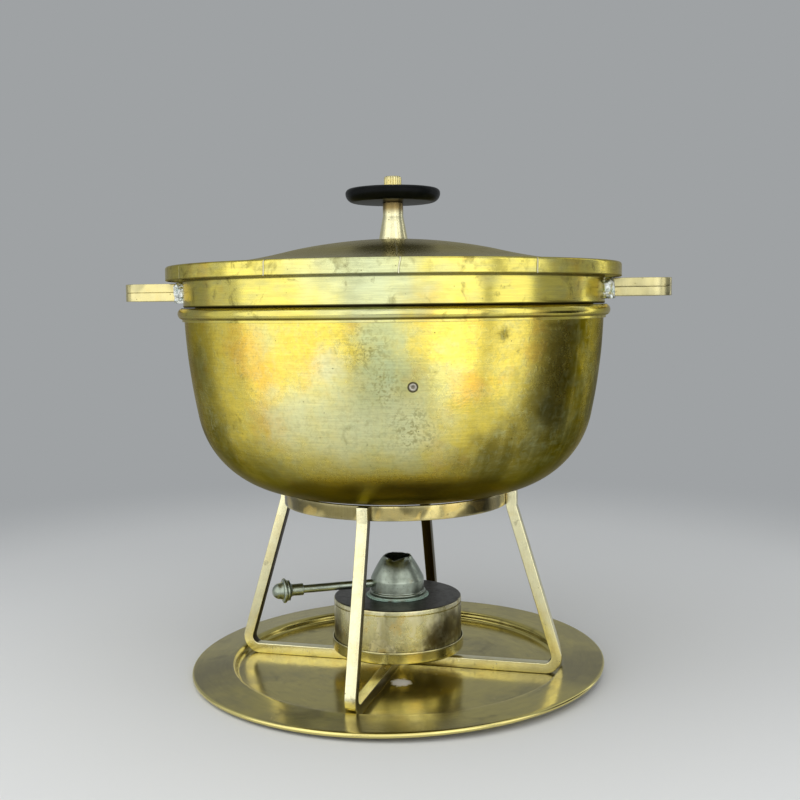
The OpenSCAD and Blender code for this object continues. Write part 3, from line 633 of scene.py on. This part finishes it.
# the collar, bead and lid carry painted shade in the creases between them and under the lid's edge
collarBrass = makeBrightBrass("spun brass, bright collar", brightBrassLook["panCreaseShade"])
beadBrass = makeBrightBrass("spun brass, bright bead", brightBrassLook["beadCreaseShade"])
barBrass = makeBarBrass("drawn brass bar, rubbed", barBrassLook)
legBrass = makeBarBrass("drawn brass bar, browned and shaded inside", legBrassLook, heatAndShade=0.94)
ringBrass = makeBarBrass("rolled brass strip, dulled", ringBrassLook, dulled=0.8)
handleBrass = makeBarBrass("drawn brass bar, handled", handleBrassLook, dulled=0.6)
trayBrass = makeTrayBrass()
burnerBrass = makeBurnerBrass("burner brass, stained")
cupBrass = makeBarBrass("spun brass, burner cup", cupBrassLook, dulled=0.55)
wornNickel = makeWornNickel()
solder = makeSolder()
phenolic = makePhenolic()
steel = makeSteel()
cotton = makeCotton()
print("materials made")


# Tray: flat well, rolled step, broad rim and wired edge
trayLook = {
    "sheet": 1.2, "wire": 3.2, "rimWidth": 34, "rimWarp": 0.35, "wellRipple": 0.06, "steps": 320,
    "rimSag": -1.0, "rimTilt": 2.6, "tiltTurn": 10,  # how the rim is bent out of level at its edge
}


def makeTray():
    look = trayLook
    edge, _, high = roundSpan("tray")
    sheet, wire = look["sheet"], look["wire"] / 2
    well = edge - look["rimWidth"]
    bend = (high - sheet) / 2
    near = (well, sheet / 2 + bend)
    far = (well + 2 * bend, high - bend - sheet / 2)
    hem = (edge - wire, high - wire)
    tuck = 180 - degrees(asin((wire - sheet) / wire))
    top = line((0, sheet), (well, sheet), 40)[:-1] + arc(near, bend - sheet / 2, -90, 0, 10)
    top += arc(far, bend + sheet / 2, 180, 90, 12)[1:] + line((far[0], high), (hem[0], high), 14)[1:-1]
    under = arc(far, bend - sheet / 2, 90, 180, 10) + arc(near, bend + sheet / 2, 0, -90, 12)[1:]
    under += line((well, 0), (0, 0), 12)[1:]
    profile = top + arc(hem, wire, 90, tuck - 360, 22) + under

    def shape(r, z, spot):
        x, y, _ = spot
        if r > well:
            bent = look["rimSag"] + look["rimTilt"] * cos(atan2(y, x) - radians(look["tiltTurn"]))
            return r, z + (bent + look["rimWarp"] * ripple((x, y, 0), 90, 1, 3)) * (r - well) / look["rimWidth"]
        return r, z + (ripple((x, y, 0), 30, look["wellRipple"], 5) if z > 0.1 else 0)

    lathe("trayPlate", "tray", profile, trayBrass, look["steps"], shape)


makeTray()


# Stand: ring and two bent bars halved over each other
standLook = {
    "bar": 7.5, "edge": 0.6, "footBend": 5.15, "easeBend": 4.0, "turn": -8.1, "lapGap": 0.05,
    "ringWall": 2.4, "ringEdge": 0.45, "ringUneven": (26, 0.12, 9),  # length and depth of its waves, and a seed
    "filing": 0.05,  # unevenness of the bars' faces
}


def makeStand():
    look = standLook
    ringOut, ringLow, ringHigh = roundSpan("support_ring")
    section = roundedBox(ringOut - look["ringWall"], ringOut, ringLow, ringHigh, look["ringEdge"])
    section = [p for a, b in zip(section, section[1:] + section[:1])
               for p in (line(a, b, 8)[:-1] if dist(a, b) > 3 else [a])]
    lathe("supportRing", "support_ring", section, ringBrass, 256, uneven(*look["ringUneven"]))

    bar, turn, bend, ease = look["bar"], radians(look["turn"]), look["footBend"], look["easeBend"]
    half = bar / 2
    low, high = corners("leg_bar_lower")
    level = low.z + half
    reach = (high.x - half * sin(abs(turn))) / cos(turn)
    foot = Vector((reach - bar - bend, low.z + bar + bend))
    top = Vector((ringOut + look["lapGap"] + bar + ease, ringLow))
    run = top - foot
    lean = degrees(asin((bend + bar + ease) / run.length) - atan2(run.x, run.y))
    lap = half + look["lapGap"]
    side = line((lap + 0.01, level), (foot.x, level), 26) + arc(foot, bend + half, -90, lean, 22)[1:]
    knee = arc(top, ease + half, 180 + lean, 180, 8)
    side += line(side[-1], knee[0], 28)[1:-1] + knee + line(knee[-1], (knee[-1][0], ringHigh), 4)[1:]
    path = [(-u, w) for u, w in reversed(side)] + [(-lap, level), (lap, level)] + side
    section = roundedBox(-half, half, -half, half, look["edge"])
    for name, node, angle, keepLow in (("legBarLower", "leg_bar_lower", turn, True),
                                       ("legBarUpper", "leg_bar_upper", turn + pi / 2, False)):
        def place(u, w, v, c=cos(angle), s=sin(angle)):
            return u * c - v * s, u * s + v * c, w

        def shape(u, w, a, b, keepLow=keepLow):
            if abs(u) <= lap:
                return (min(a, 0) if keepLow else max(a, 0)), b
            grain = ripple((u, w, 5 * keepLow), 7, look["filing"], 13)
            return a + grain * (1 if a > 0 else 0.6), b + 0.6 * grain * (1 if b > 0 else -1)

        sweepBar(name, node, path, section, place, legBrass, shape)


makeStand()
print("tray and stand made")


# Burner: cup, can, darkened plate, collar, gauze and packing
burnerLook = {
    "cupSheet": 0.9, "cupHole": 2.05, "canSheet": 0.8, "edge": 2.0, "kick": 3.2, "footWide": 3, "roll": 1.1,
    "throat": 12.0, "flange": 2.0, "neckIn": 17.2, "neckOut": 18.2, "wireGauge": 0.35, "wirePitch": 1.9,
    "tuftSoft": 3.0, "dents": (14, 0.18, 17),  # length and depth of the dents, and a seed
}


def makeBurner():
    look = burnerLook
    edge, throat = look["edge"], look["throat"]
    dented = uneven(*look["dents"])
    out, low, high = roundSpan("burner_cup")
    sheet, hole = look["cupSheet"], look["cupHole"]
    corner = (out - edge, low + edge)
    cup = line((hole, low), (corner[0], low), 10)[:-1] + arc(corner, edge, -90, 0, 8)
    cup += line((out, corner[1]), (out, high - sheet / 2), 6)[1:]
    cup += arc((out - sheet / 2, high - sheet / 2), sheet / 2, 0, 180, 6)
    cup += arc(corner, edge - sheet, 0, -90, 6) + [(hole, low + sheet)]
    lathe("burnerCup", "burner_cup", cup, cupBrass, 192, dented)

    out, low, high = roundSpan("font_can")
    plateOut, plateLow, plateHigh = roundSpan("font_top_plate")
    sheet, kick = look["canSheet"], low + look["kick"]
    foot = (out - edge, low + edge)
    inside = foot[0] - look["footWide"]
    can = [(0, kick), (inside, kick), (inside, low), (foot[0], low)]
    can += arc(foot, edge, -90, 0, 8)[1:] + line((out, foot[1]), (out, plateLow - 0.3), 16)[1:]
    can += [(out - sheet, plateLow - 0.3), (out - sheet, high), (out - 2 * sheet, high)]
    can += [(out - 2 * sheet, plateLow - 1.5), (out - sheet, plateLow - 2.5), (out - sheet, foot[1])]
    can += arc(foot, edge - sheet, 0, -90, 6)[1:]
    can += [(inside + sheet, low + sheet), (inside + sheet, kick + sheet), (0, kick + sheet)]
    lathe("fontCan", "font_can", can, burnerBrass, 192, dented)

    roll = look["roll"]
    crown = (plateOut - roll, plateHigh - roll)
    skin = line((throat, plateHigh), (crown[0], plateHigh), 14)[:-1] + arc(crown, roll, 90, 0, 8)
    skin += [(plateOut + 0.12, plateLow + 0.9), (plateOut + 0.12, plateLow + 0.25), (plateOut - 0.05, plateLow)]
    skin += [(plateOut - sheet, plateLow), (plateOut - sheet, crown[1])]
    skin += arc(crown, roll - sheet, 0, 90, 4) + [(throat, plateHigh - sheet)]

    def warped(r, z, spot):
        return r, z + (ripple((spot[0], spot[1], 0), 16, 0.12, 19) if z > crown[1] else 0)

    plateBrass = makeBurnerBrass("burner brass, heat-darkened top", plateHigh)
    lathe("fontTopPlate", "font_top_plate", skin, plateBrass, 192, warped)

    out, low, high = roundSpan("burner_collar")
    step, top, neckIn, neckOut = out - 1.3, low + look["flange"], look["neckIn"], look["neckOut"]
    ring = [(throat, low), (out - 0.3, low), (out, low + 0.3)]
    ring += [(out, low + 0.6), (out - 0.35, low + 0.9), (step + 0.1, low + 0.95)]
    ring += arc((step - 0.45, top - 0.45), 0.45, 0, 90, 5)
    ring += [(neckOut + 0.5, top), (neckOut, top + 0.5), (neckOut, high - 0.2), (neckOut - 0.2, high)]
    ring += [(neckIn + 0.2, high), (neckIn, high - 0.2), (neckIn, top), (throat, top)]
    lathe("burnerCollar", "burner_collar", ring, wornNickel, 128)

    out, low, high = roundSpan("throat_gauze")
    pitch, gauge, middle = look["wirePitch"], look["wireGauge"] / 2, (low + high) / 2
    count = int(out / pitch)
    bm = bmesh.new()
    for across in (False, True):
        for n in range(-count, count + 1):
            offset = n * pitch
            half = sqrt(max(out ** 2 - offset ** 2, 0)) - 0.2
            if half < pitch:
                continue
            rings = []
            steps = max(int(8 * half / pitch), 8)
            for s in range(steps + 1):
                t = -half + 2 * half * s / steps
                weave = cos(pi * (t / pitch + n + across)) * gauge * 1.05
                wire = [(offset + side, t, middle + weave + up) for side, up in arc((0, 0), gauge, 0, 300, 5)]
                rings.append([bm.verts.new(Vector(p if across else (p[1], p[0], p[2])) * mm) for p in wire])
            tube(bm, rings)
    showMesh("throatGauze", bm, "throat_gauze", steel)

    out, low, high = roundSpan("wool_packing")
    soft = look["tuftSoft"]
    puck = line((0, low), (out - soft, low), 12)[:-1] + arc((out - soft, low + soft), soft, -90, 0, 6)
    puck += arc((out - soft, high - soft), soft, 0, 90, 6) + line((out - soft, high), (0, high), 14)[1:]

    def tufted(r, z, spot):
        shift = -abs(ripple(spot, 6, 1.0, 23)) - abs(ripple(spot, 2.5, 0.4, 29))
        lift = shift if z > high - soft else (-shift if z < low + soft else 0)
        return max(r + (shift if r > out - soft else 0), 0), z + lift * (r != 0)

    lathe("packingCotton", "wool_packing", puck, cotton, 128, tufted)


makeBurner()


# Regulator: cone with a bent, torn mouth, lever and turned knob
regulatorLook = {
    "sheet": 1.0, "wallUp": 10.9, "coneOut": 19.5, "mouth": 10.5, "swell": 0.5, "ringOut": 1.1, "ringUp": 2.2,
    "leverTurn": 203.5, "leverUp": 8.0, "rod": 2.9, "reach": 93.0,
    "ferrule": 4.2, "ferruleLong": 10.0, "bead": 7.3, "ring": 8.8, "thick": 2.4, "end": 5.7, "endLong": 1.8,
    "rodUneven": (6, 0.08, 41), "knobUneven": (4, 0.12, 43),
    "tearAt": -96.0, "tearWide": 26.0, "tearDeep": 1.9,  # where the mouth is torn, seen from above, in degrees
}


def makeRegulator():
    look = regulatorLook
    _, low, high = roundSpan("flame_cone")
    sheet, wall, mouth, step = look["sheet"], look["coneOut"], look["mouth"], low + look["ringUp"]
    flank = [(r + look["swell"] * sin(pi * i / 24), z)
             for i, (r, z) in enumerate(line((wall, low + look["wallUp"]), (mouth, high), 24))]
    bead = (wall + look["ringOut"] - look["ringUp"] / 2, low + look["ringUp"] / 2)
    cone = [(bead[0], low)] + arc(bead, look["ringUp"] / 2, -90, 90, 10)[1:]
    cone += [(wall + 0.25, step), (wall, step + 0.25)] + line((wall, step + 0.6), flank[0], 8)[:-1] + flank
    cone += [(mouth - sheet * 0.3, high + 0.05), (mouth - sheet * 0.75, high)]
    cone += [(r - sheet, z) for r, z in reversed(flank)] + [(wall - sheet, low)]

    def torn(r, z, spot):
        near = max(0.0, (z - (high - 6)) / 6) ** 2
        off = (degrees(atan2(spot[1], spot[0])) - look["tearAt"] + 180) % 360 - 180
        tear = exp(-(off / look["tearWide"]) ** 2)
        jag = ripple(spot, 2.2, 0.5, 31) + ripple(spot, 6, 0.7, 33)
        drop = near * (look["tearDeep"] * tear + 0.9 * jag)
        bent = ripple(spot, 11, 0.35, 37) - near * (0.9 * tear + 0.5 * jag)
        return r + (bent if z > step else 0), z - drop

    lathe("flameCone", "flame_cone", cone, wornNickel, 160, torn)

    turn = Matrix.Rotation(radians(look["leverTurn"]), 4, "Z") @ Matrix.Rotation(radians(90), 4, "Y")
    axis = Matrix.Translation((0, 0, (low + look["leverUp"]) * mm)) @ turn
    start, rod = wall - sheet, look["rod"]
    ferrule, bead, ring, thick, end = (look[key] for key in ("ferrule", "bead", "ring", "thick", "end"))
    knobLow = look["reach"] - look["ferruleLong"] - 2 * thick - look["endLong"] - end
    bar = [(0, start), (rod - 0.3, start)] + line((rod, start + 1), (rod, knobLow), 20) + [(0, knobLow)]
    lathe("leverRod", "lever_rod", bar, wornNickel, 48, uneven(*look["rodUneven"], True), axis)

    at = knobLow + look["ferruleLong"]
    flare = bead - ferrule
    knob = [(0, knobLow), (ferrule - 0.3, knobLow), (ferrule, knobLow + 0.3), (ferrule, at - flare)]
    knob += arc((bead, at - flare), flare, 180, 90, 8)[1:]
    knob += arc((bead - thick / 2, at + thick / 2), thick / 2, -70, 70, 8)
    knob += [(bead - 1.1, at + thick)] + arc((ring - thick / 2, at + 1.5 * thick), thick / 2, -80, 90, 9)
    knob += [(end + 0.6, at + 2 * thick + 0.1)] + arc((0, at + 2 * thick + look["endLong"]), end, 0, 90, 12)
    knob[-1] = (0, knob[-1][1])
    lathe("leverKnob", "lever_knob", knob, wornNickel, 64, uneven(*look["knobUneven"], True), axis)


makeRegulator()
print("burner and regulator made")


# Water pan: crowned base, round corner and swelling wall, as three arcs
panLook = {
    "rim": 148.4, "sheet": 1.2, "rimLean": 2.57, "cornerLean": 11.8, "wallR": 424.0, "cornerR": 66.7,
    "baseR": 412.0, "wave": 0.28, "hammer": 0.05, "beadUneven": (30, 0.12, 53), "steps": 320,
    "rivetTurn": 281.0, "rivetDrop": 38.5, "rivetHead": 3.3, "rivetShank": 1.8,
}


def panCurve(drawnIn, up, topLean):
    # outside of the pan, drawn in by a distance and raised, and the centre of its wall's arc
    look = panLook
    wallR, cornerR, baseR, lean = look["wallR"], look["cornerR"], look["baseR"], look["cornerLean"]
    c, s = cos(radians(lean)), sin(radians(lean))
    base = corners("water_pan")[0].z + up
    cornerX = look["rim"] - wallR * (cos(radians(look["rimLean"])) - c) - cornerR * c
    baseLean = degrees(acos(cornerX / (baseR - cornerR)))
    corner = (cornerX, base + baseR - (baseR - cornerR) * sin(radians(baseLean)))
    wall = (corner[0] - (wallR - cornerR) * c, corner[1] + (wallR - cornerR) * s)
    points = arc((0, base + baseR), baseR - drawnIn, -90, -baseLean, 22)
    points += arc(corner, cornerR - drawnIn, -baseLean, -lean, 30)[1:]
    points += arc(wall, wallR - drawnIn, -lean, -topLean, 24)[1:]
    points[0] = (0, points[0][1])
    return points, wall


def hammered(seed):
    def shape(r, z, spot):
        shift = ripple(spot, 48, panLook["wave"], seed) + ripple(spot, 15, panLook["hammer"], seed + 2)
        return max(r + shift * min(r / 60, 1), 0), z
    return shape


def makeWaterPan():
    look = panLook
    rim, sheet, top = look["rim"], look["sheet"], corners("water_pan")[1].z
    pan, wall = panCurve(0, 0, look["rimLean"])
    pan += line((rim, pan[-1][1] + 1), (rim, top - 0.5), 4)
    pan += arc((rim - sheet / 2, top - 0.6), sheet / 2, 0, 180, 6)
    pan += panCurve(sheet, 0, look["rimLean"])[0][::-1]
    lathe("waterPan", "water_pan", pan, bowlBrass, look["steps"], hammered(47))

    out, low, high = roundSpan("rim_bead")
    fillet = (high - low) / 6
    radius = (high - low - fillet) / 2
    bow = (out - radius, high - radius)
    seam = rim - 0.2
    bead = [(seam, low), (rim + 1.3, low), (rim + 1.5, low + 0.2), (rim + 1.5, low + fillet - 0.15)]
    bead += arc(bow, radius, -78, 62, 16) + [(bow[0] + 0.3 * radius, high), (seam, high)]
    lathe("rimBead", "rim_bead", bead, beadBrass, look["steps"], uneven(*look["beadUneven"]))

    drop = asin((wall[1] - low + look["rivetDrop"]) / look["wallR"])
    spot = Vector((wall[0] + look["wallR"] * cos(drop), 0, wall[1] - look["wallR"] * sin(drop))) * mm
    axis = Matrix.Rotation(radians(look["rivetTurn"]), 4, "Z") @ Matrix.Translation(spot)
    axis = axis @ Matrix.Rotation(pi / 2 + drop, 4, "Y")
    head, shank = look["rivetHead"], look["rivetShank"]
    plug = [(0, -1.0), (shank, -1.0), (shank, -0.1), (head, -0.1), (head, 0.1), (head - 0.2, 0.16)]
    plug += [(head - 0.9, 0.12), (head - 1.1, 0.4), (head - 1.35, 0.52), (head - 1.75, 0.5), (head - 2.05, 0.3)]
    plug += [(0.6, 0.14), (0, 0.12)]
    lathe("wallRivet", "wall_rivet", plug, makeRivetMetal(tuple(axis.translation / mm)), 48, None, axis)


makeWaterPan()


# Food pan: inner bowl, shoulder on the bead, upright collar and lip under the lid
foodLook = {
    "sheet": 1.0, "jacket": 6.0, "depth": 12.0, "collar": 149.0, "lip": 158.2, "round": 1.0, "seat": 0.3,
}


def makeFoodPan():
    look = foodLook
    collar, sheet, ease = look["collar"], look["sheet"], look["round"]
    top = corners("food_pan")[1].z
    shoulder = corners("water_pan")[1].z + look["seat"]
    drawn = panLook["sheet"] + look["jacket"]
    wall = panCurve(0, look["depth"], panLook["rimLean"])[1]
    lean = degrees(asin((wall[1] - shoulder) / (panLook["wallR"] - drawn)))
    inner = panCurve(drawn + sheet, look["depth"], lean)[0][::-1]
    pan = panCurve(drawn, look["depth"], lean)[0]
    pan += line(pan[-1], (collar - ease, shoulder), 3)[1:-1]
    pan += arc((collar - ease, shoulder + ease), ease, -90, 0, 5)
    pan += line((collar, shoulder + ease), (collar, top - sheet - ease), 10)[1:-1]
    pan += arc((collar + ease, top - sheet - ease), ease, 180, 90, 5)
    pan += line((collar + ease, top - sheet), (look["lip"] - sheet / 2, top - sheet), 3)[1:-1]
    pan += arc((look["lip"] - sheet / 2, top - sheet / 2), sheet / 2, -90, 90, 6)
    turned = ease + sheet
    pan += arc((collar - sheet + turned, top - turned), turned, 90, 180, 6)
    pan += line((collar - sheet, top - turned), (collar - sheet, shoulder + sheet + 0.6), 10)[1:]
    pan += [(collar - sheet - 0.6, shoulder + sheet), (inner[0][0] + 1.2, shoulder + sheet)] + inner
    lathe("foodPan", "food_pan", pan, collarBrass, panLook["steps"], hammered(59))


makeFoodPan()
print("pans made")


# Handles: two square bars, one on the other, bent to a loop and soldered to the collar
handleLook = {
    "bar": 6.2, "edge": 0.55, "bend": 5.15, "filing": 0.12, "startAt": 147.7,
    "solderAt": 149.4, "solderSize": (5.4, 5.2, 8.2), "solderFrom": 148.4,  # the lumps stay outside the collar
}


def makeHandles():
    look = handleLook
    bar, half, start = look["bar"], look["bar"] / 2, look["startAt"]
    section = roundedBox(-half, half, -half, half, look["edge"])
    radius = look["bend"] + half
    for side, name in ((1, "right"), (-1, "left")):
        for level in ("lower", "upper"):
            node = f"handle_{name}_{level}"
            low, high = corners(node)
            tip = high.x if side > 0 else -low.x
            wide, x, y = high.y - half, tip - bar - look["bend"], high.y - bar - look["bend"]
            path = line((start, wide), (x, wide), 16) + arc((x, y), radius, 90, 0, 14)[1:]
            path += line((tip - half, y), (tip - half, -y), 14)[1:] + arc((x, -y), radius, 0, -90, 14)[1:]
            path += line((x, -wide), (start, -wide), 16)[1:]

            def place(u, w, v, side=side, centre=(low.z + high.z) / 2):
                return side * u, w, centre + v

            def shape(u, w, a, b, seed=61 + 7 * side + (level == "upper")):
                grain = ripple((u, w, seed), 6, look["filing"], seed)
                return a + grain * (1 if a > 0 else -0.5), b + 0.5 * grain * (1 if b > 0 else -1)

            sweepBar(f"handle{name.title()}{level.title()}", node, path, section, place, handleBrass, shape)

    low, high = corners("handle_solder")
    bottom, top = low.z + 0.2, high.z - 0.1
    wide = corners("handle_right_lower")[1].y - half
    bm = bmesh.new()
    for side in (1, -1):
        for end in (1, -1):
            centre = Vector((side * look["solderAt"], end * (wide - 0.3), (bottom + top) / 2))
            seed = 71 + 5 * side + 2 * end
            for v in bmesh.ops.create_icosphere(bm, subdivisions=5, radius=1.0)["verts"]:
                way = v.co.copy()
                lump = 1 + 0.22 * noise.noise(way * 1.7 + Vector((seed, 0, 0)))
                lump += 0.1 * noise.noise(way * 4.5 + Vector((0, seed, 0)))
                boxy = [copysign(abs(c) ** 0.6, c) * size for c, size in zip(way, look["solderSize"])]
                spot = centre + Vector(boxy) * lump
                out = max(look["solderFrom"] / hypot(spot.x, spot.y), 1)
                v.co = Vector((spot.x * out, spot.y * out, min(max(spot.z, bottom), top))) * mm
    showMesh("handleSolder", bm, "handle_solder", solder, 60)


makeHandles()
print("handles made")


# Lid: ogee dome with a turned-down band
lidLook = {"sheet": 1.2, "band": 9.8, "edge": 1.8, "hole": 2.55, "wave": 0.3, "steps": 320}


def makeLid():
    look = lidLook
    out, low, top = roundSpan("lid_shell")
    sheet, edge = look["sheet"], look["edge"]
    brim = low + look["band"]
    domeOut = out - edge
    wide, rise = domeOut / 2, (top - brim) / 2
    radius = (wide * wide + rise * rise) / (2 * rise)
    lean = degrees(asin(wide / radius))
    hole = degrees(asin(look["hole"] / radius))
    crown, hollow, corner = (0, top - radius), (domeOut, brim + radius), (domeOut, brim - edge)
    lid = arc(crown, radius, 90 - hole, 90 - lean, 26) + arc(hollow, radius, -90 - lean, -90, 26)[1:]
    lid += arc(corner, edge, 90, 0, 8)[1:] + line((out, corner[1]), (out, low + 0.3), 6)[1:]
    lid += arc((out - sheet / 2, low + sheet / 2), sheet / 2, 0, -180, 6)[1:]
    lid += arc(corner, edge - sheet, 0, 90, 5) + arc(hollow, radius + sheet, -90, -90 - lean, 26)[1:]
    lid += arc(crown, radius - sheet, 90 - lean, 90 - hole, 26)[1:]

    def shape(r, z, spot):
        wave = ripple(spot, 42, look["wave"], 83)
        if r > domeOut - 3:
            return r + 0.4 * wave, z
        return r, z + wave * min(r / 60, 1) * min((domeOut - r) / 20, 1)

    lidBrass = makeBrightBrass("spun brass, lid", brightBrassLook["lidEdgeShade"], brim + 0.3)
    lathe("lidShell", "lid_shell", lid, lidBrass, look["steps"], shape)


makeLid()


# Knob: flared brass stem, black disc and fluted cap nut
knobLook = {
    # the dark band at the stem's top is painted shade, this deep below its top
    "stem": 7.3, "foot": 10.4, "lip": 0.8, "flare": 16.5, "paintedDiscShade": 6.5, "bore": 2.55, "discUnder": 27.6,
    "cap": 6.25, "flutes": 18, "fluteDeep": 0.45,
}


def makeKnob():
    look = knobLook
    stem, foot, bore = look["stem"], look["foot"], look["bore"]
    _, low, high = roundSpan("knob_stem")
    lip = low + look["lip"]
    post = [(bore, low), (foot - 0.2, low), (foot, low + 0.2), (foot, lip)]
    post += line((foot - 0.25, lip + 0.15), (stem, low + look["flare"]), 16)
    post += line(post[-1], (stem, high - 0.4), 8)[1:] + [(stem - 0.4, high), (bore, high)]
    # painted shade at the top of the stem, under the disc
    stemBrass = makeBarBrass("drawn brass, turned stem", stemBrassLook, high - look["paintedDiscShade"])
    lathe("knobStem", "knob_stem", post, stemBrass, 96)

    out, low, high = roundSpan("knob_disc")
    lift, edge, under = (high - low) * 2 / 3, (high - low) / 3, look["discUnder"]
    turns = [pi * i / 32 for i in range(17)]
    disc = [(bore, low)] + [(under + (out - under) * sin(a), low + lift * (1 - cos(a))) for a in turns]
    disc += arc((out - edge, high - edge), edge, 0, 90, 10)[1:]
    disc += [(out - 6, high - 0.25), (out - 12, high - 0.45), (14, high - 0.5), (9, high - 0.1), (bore, high)]
    lathe("knobDisc", "knob_disc", disc, phenolic, 192)

    _, low, high = roundSpan("knob_cap")
    out = look["cap"]
    ease = out / 6
    cap = [(0, low), (out - 0.3, low), (out, low + 0.3)] + line((out, low + 0.3), (out, high - ease), 6)[1:]
    cap += [(out - ease * 0.4, high - ease * 0.4), (out - ease, high), (out - 2.2, high), (0, high - 0.15)]

    def fluted(r, z, spot):
        cut = max(0.0, cos(look["flutes"] * atan2(spot[1], spot[0]))) ** 2
        return r - look["fluteDeep"] * cut * (r > out - 0.6), z

    lathe("knobCap", "knob_cap", cap, handleBrass, 12 * look["flutes"], fluted)


makeKnob()
print("lid and knob made")


# Small pieces that keep their solids get their own metal
for node in ("cup_boss", "cup_screw", "knob_stud", "stud_washer", "stud_nut"):
    mesh = frame["nodes"][node].data
    mesh.materials.clear()
    mesh.materials.append(barBrass if node == "cup_boss" else steel)


# Stage: pale floor, plain world, dark card, seven soft lights and the camera
stageLook = {
    "floor": "#dcdddd", "floorOut": 12, "world": "#9fa2a4", "worldStrength": 1.0,
    "fadeFrom": 0.5, "fadeTo": 0.9,  # distances between which the floor turns into the backdrop
    # keeps light off the right flank, out of the camera's sight
    "card": {"colour": "#16150f", "turn": 96, "away": 0.55, "wide": 0.3, "tall": 0.24},
    # turn round the object in degrees, distance, height of the middle, height aimed at and size in metres
    "panel": {"away": 0.62, "up": 0.41, "aim": 0.41, "tall": 0.8},
    "lights": [
        {"name": "edgePanel", "turn": -84, "wide": 0.24, "bright": 0.3},
        {"name": "leftPanel", "turn": -43, "wide": 0.68, "bright": 0.9},
        {"name": "frontPanel", "turn": 6, "away": 1.0, "up": 0.5, "aim": 0.5, "wide": 0.66, "tall": 1.0,
         "bright": 0.78},
        {"name": "rightPanel", "turn": 35, "wide": 0.27, "bright": 1.1},
        {"name": "sidePanel", "turn": 63, "wide": 0.23, "bright": 0.85},
        {"name": "farPanel", "turn": 116, "wide": 0.08, "bright": 0.9},
        {"name": "topPanel", "turn": -20, "away": 0.35, "up": 2.0, "aim": 0.17, "wide": 2.4, "tall": 2.4,
         "bright": 0.6},
    ],
}
cameraLook = {
    "turn": 6.67, "away": 788.4, "aside": 2.34, "up": 264.5, "down": 5.0, "yaw": 0.08, "roll": -0.66,
    "focal": 1091, "frame": 800,  # in pixels of the photograph's frame
}


def roundObject(turn, away, up):
    # a point at a turn from the front, a distance and a height
    return Vector((away * sin(radians(turn)), -away * cos(radians(turn)), up))


def makeStage():
    look = stageLook
    bpy.ops.mesh.primitive_circle_add(vertices=128, radius=look["floorOut"], fill_type="NGON")
    floor = bpy.context.object
    floor.name = "floor"
    material, place = newMaterial("painted floor")
    shader = addNode(place, "BsdfPrincipled", {"Base Color": linear(look["floor"]), "Roughness": 0.75})
    # it does so for the eye and for reflections, and keeps its shadows near the object
    backdrop = {0: linear(look["world"]), 1: look["worldStrength"]}
    glow = addNode(place, "Emission", backdrop)
    away = addNode(place, "VectorMath", {0: place}, "Value", operation="LENGTH")
    share = addNode(place, "MapRange", {0: away, 1: look["fadeFrom"] / mm, 2: look["fadeTo"] / mm},
                    interpolation_type="SMOOTHSTEP")
    seen = addNode(place, "LightPath", out="Is Camera Ray")
    rays = seen.node.outputs
    for ray in ("Is Glossy Ray", "Is Transmission Ray"):
        seen = addNode(place, "Math", {0: seen, 1: rays[ray]}, operation="MAXIMUM")
    share = addNode(place, "Math", {0: share, 1: seen}, operation="MULTIPLY")
    addNode(place, "OutputMaterial", {"Surface": addNode(place, "MixShader", {0: share, 1: shader, 2: glow})})
    floor.data.materials.append(material)

    spec = look["card"]
    bpy.ops.mesh.primitive_plane_add(size=1, rotation=(pi / 2, 0, radians(spec["turn"])),
                                     location=roundObject(spec["turn"], spec["away"], spec["tall"] / 2))
    card = bpy.context.object
    card.name = "darkCard"
    card.scale = (spec["wide"], spec["tall"], 1)
    card.visible_camera = False
    material, place = newMaterial("dark card")
    shader = addNode(place, "BsdfPrincipled", {"Base Color": linear(spec["colour"]), "Roughness": 0.9})
    addNode(place, "OutputMaterial", {"Surface": shader})
    card.data.materials.append(material)

    world = bpy.data.worlds.new("studio")
    world.use_nodes = True
    world.node_tree.nodes.clear()
    addNode(world.node_tree, "OutputWorld", {0: addNode(world.node_tree, "Background", backdrop)})
    scene.world = world

    for row in look["lights"]:
        light = {**look["panel"], **row}
        lamp = bpy.data.lights.new(light["name"], "AREA")
        lamp.shape = "RECTANGLE"
        lamp.size, lamp.size_y = light["wide"], light["tall"]
        lamp.energy = 4 * light["bright"] * light["wide"] * light["tall"]  # as bright at any size
        holder = bpy.data.objects.new(light["name"], lamp)
        holder.location = roundObject(light["turn"], light["away"], light["up"])
        sight = Vector((0, 0, light["aim"])) - holder.location
        holder.rotation_euler = sight.to_track_quat("-Z", "Y").to_euler()
        holder.visible_camera = False
        scene.collection.objects.link(holder)


def makeCamera():
    look = cameraLook
    turn, down, yaw = (radians(look[key]) for key in ("turn", "down", "yaw"))
    ahead = Vector((-sin(turn), cos(turn), 0))
    right = Vector((cos(turn), sin(turn), 0))
    data = bpy.data.cameras.new("photoView")
    data.sensor_width = 36
    data.lens = data.sensor_width * look["focal"] / look["frame"]
    camera = bpy.data.objects.new("photoView", data)
    camera.location = (ahead * -look["away"] + right * look["aside"] + Vector((0, 0, look["up"]))) * mm
    sight = (ahead * cos(yaw) + right * sin(yaw)) * cos(down) - Vector((0, 0, sin(down)))
    across = right * cos(yaw) - ahead * sin(yaw)
    facing = Matrix((across, across.cross(sight), -sight)).transposed()
    camera.rotation_euler = (facing @ Matrix.Rotation(radians(look["roll"]), 3, "Z")).to_euler()
    scene.collection.objects.link(camera)
    scene.camera = camera


makeStage()
makeCamera()
scene.view_settings.view_transform = "Standard"
print("stage and camera made")
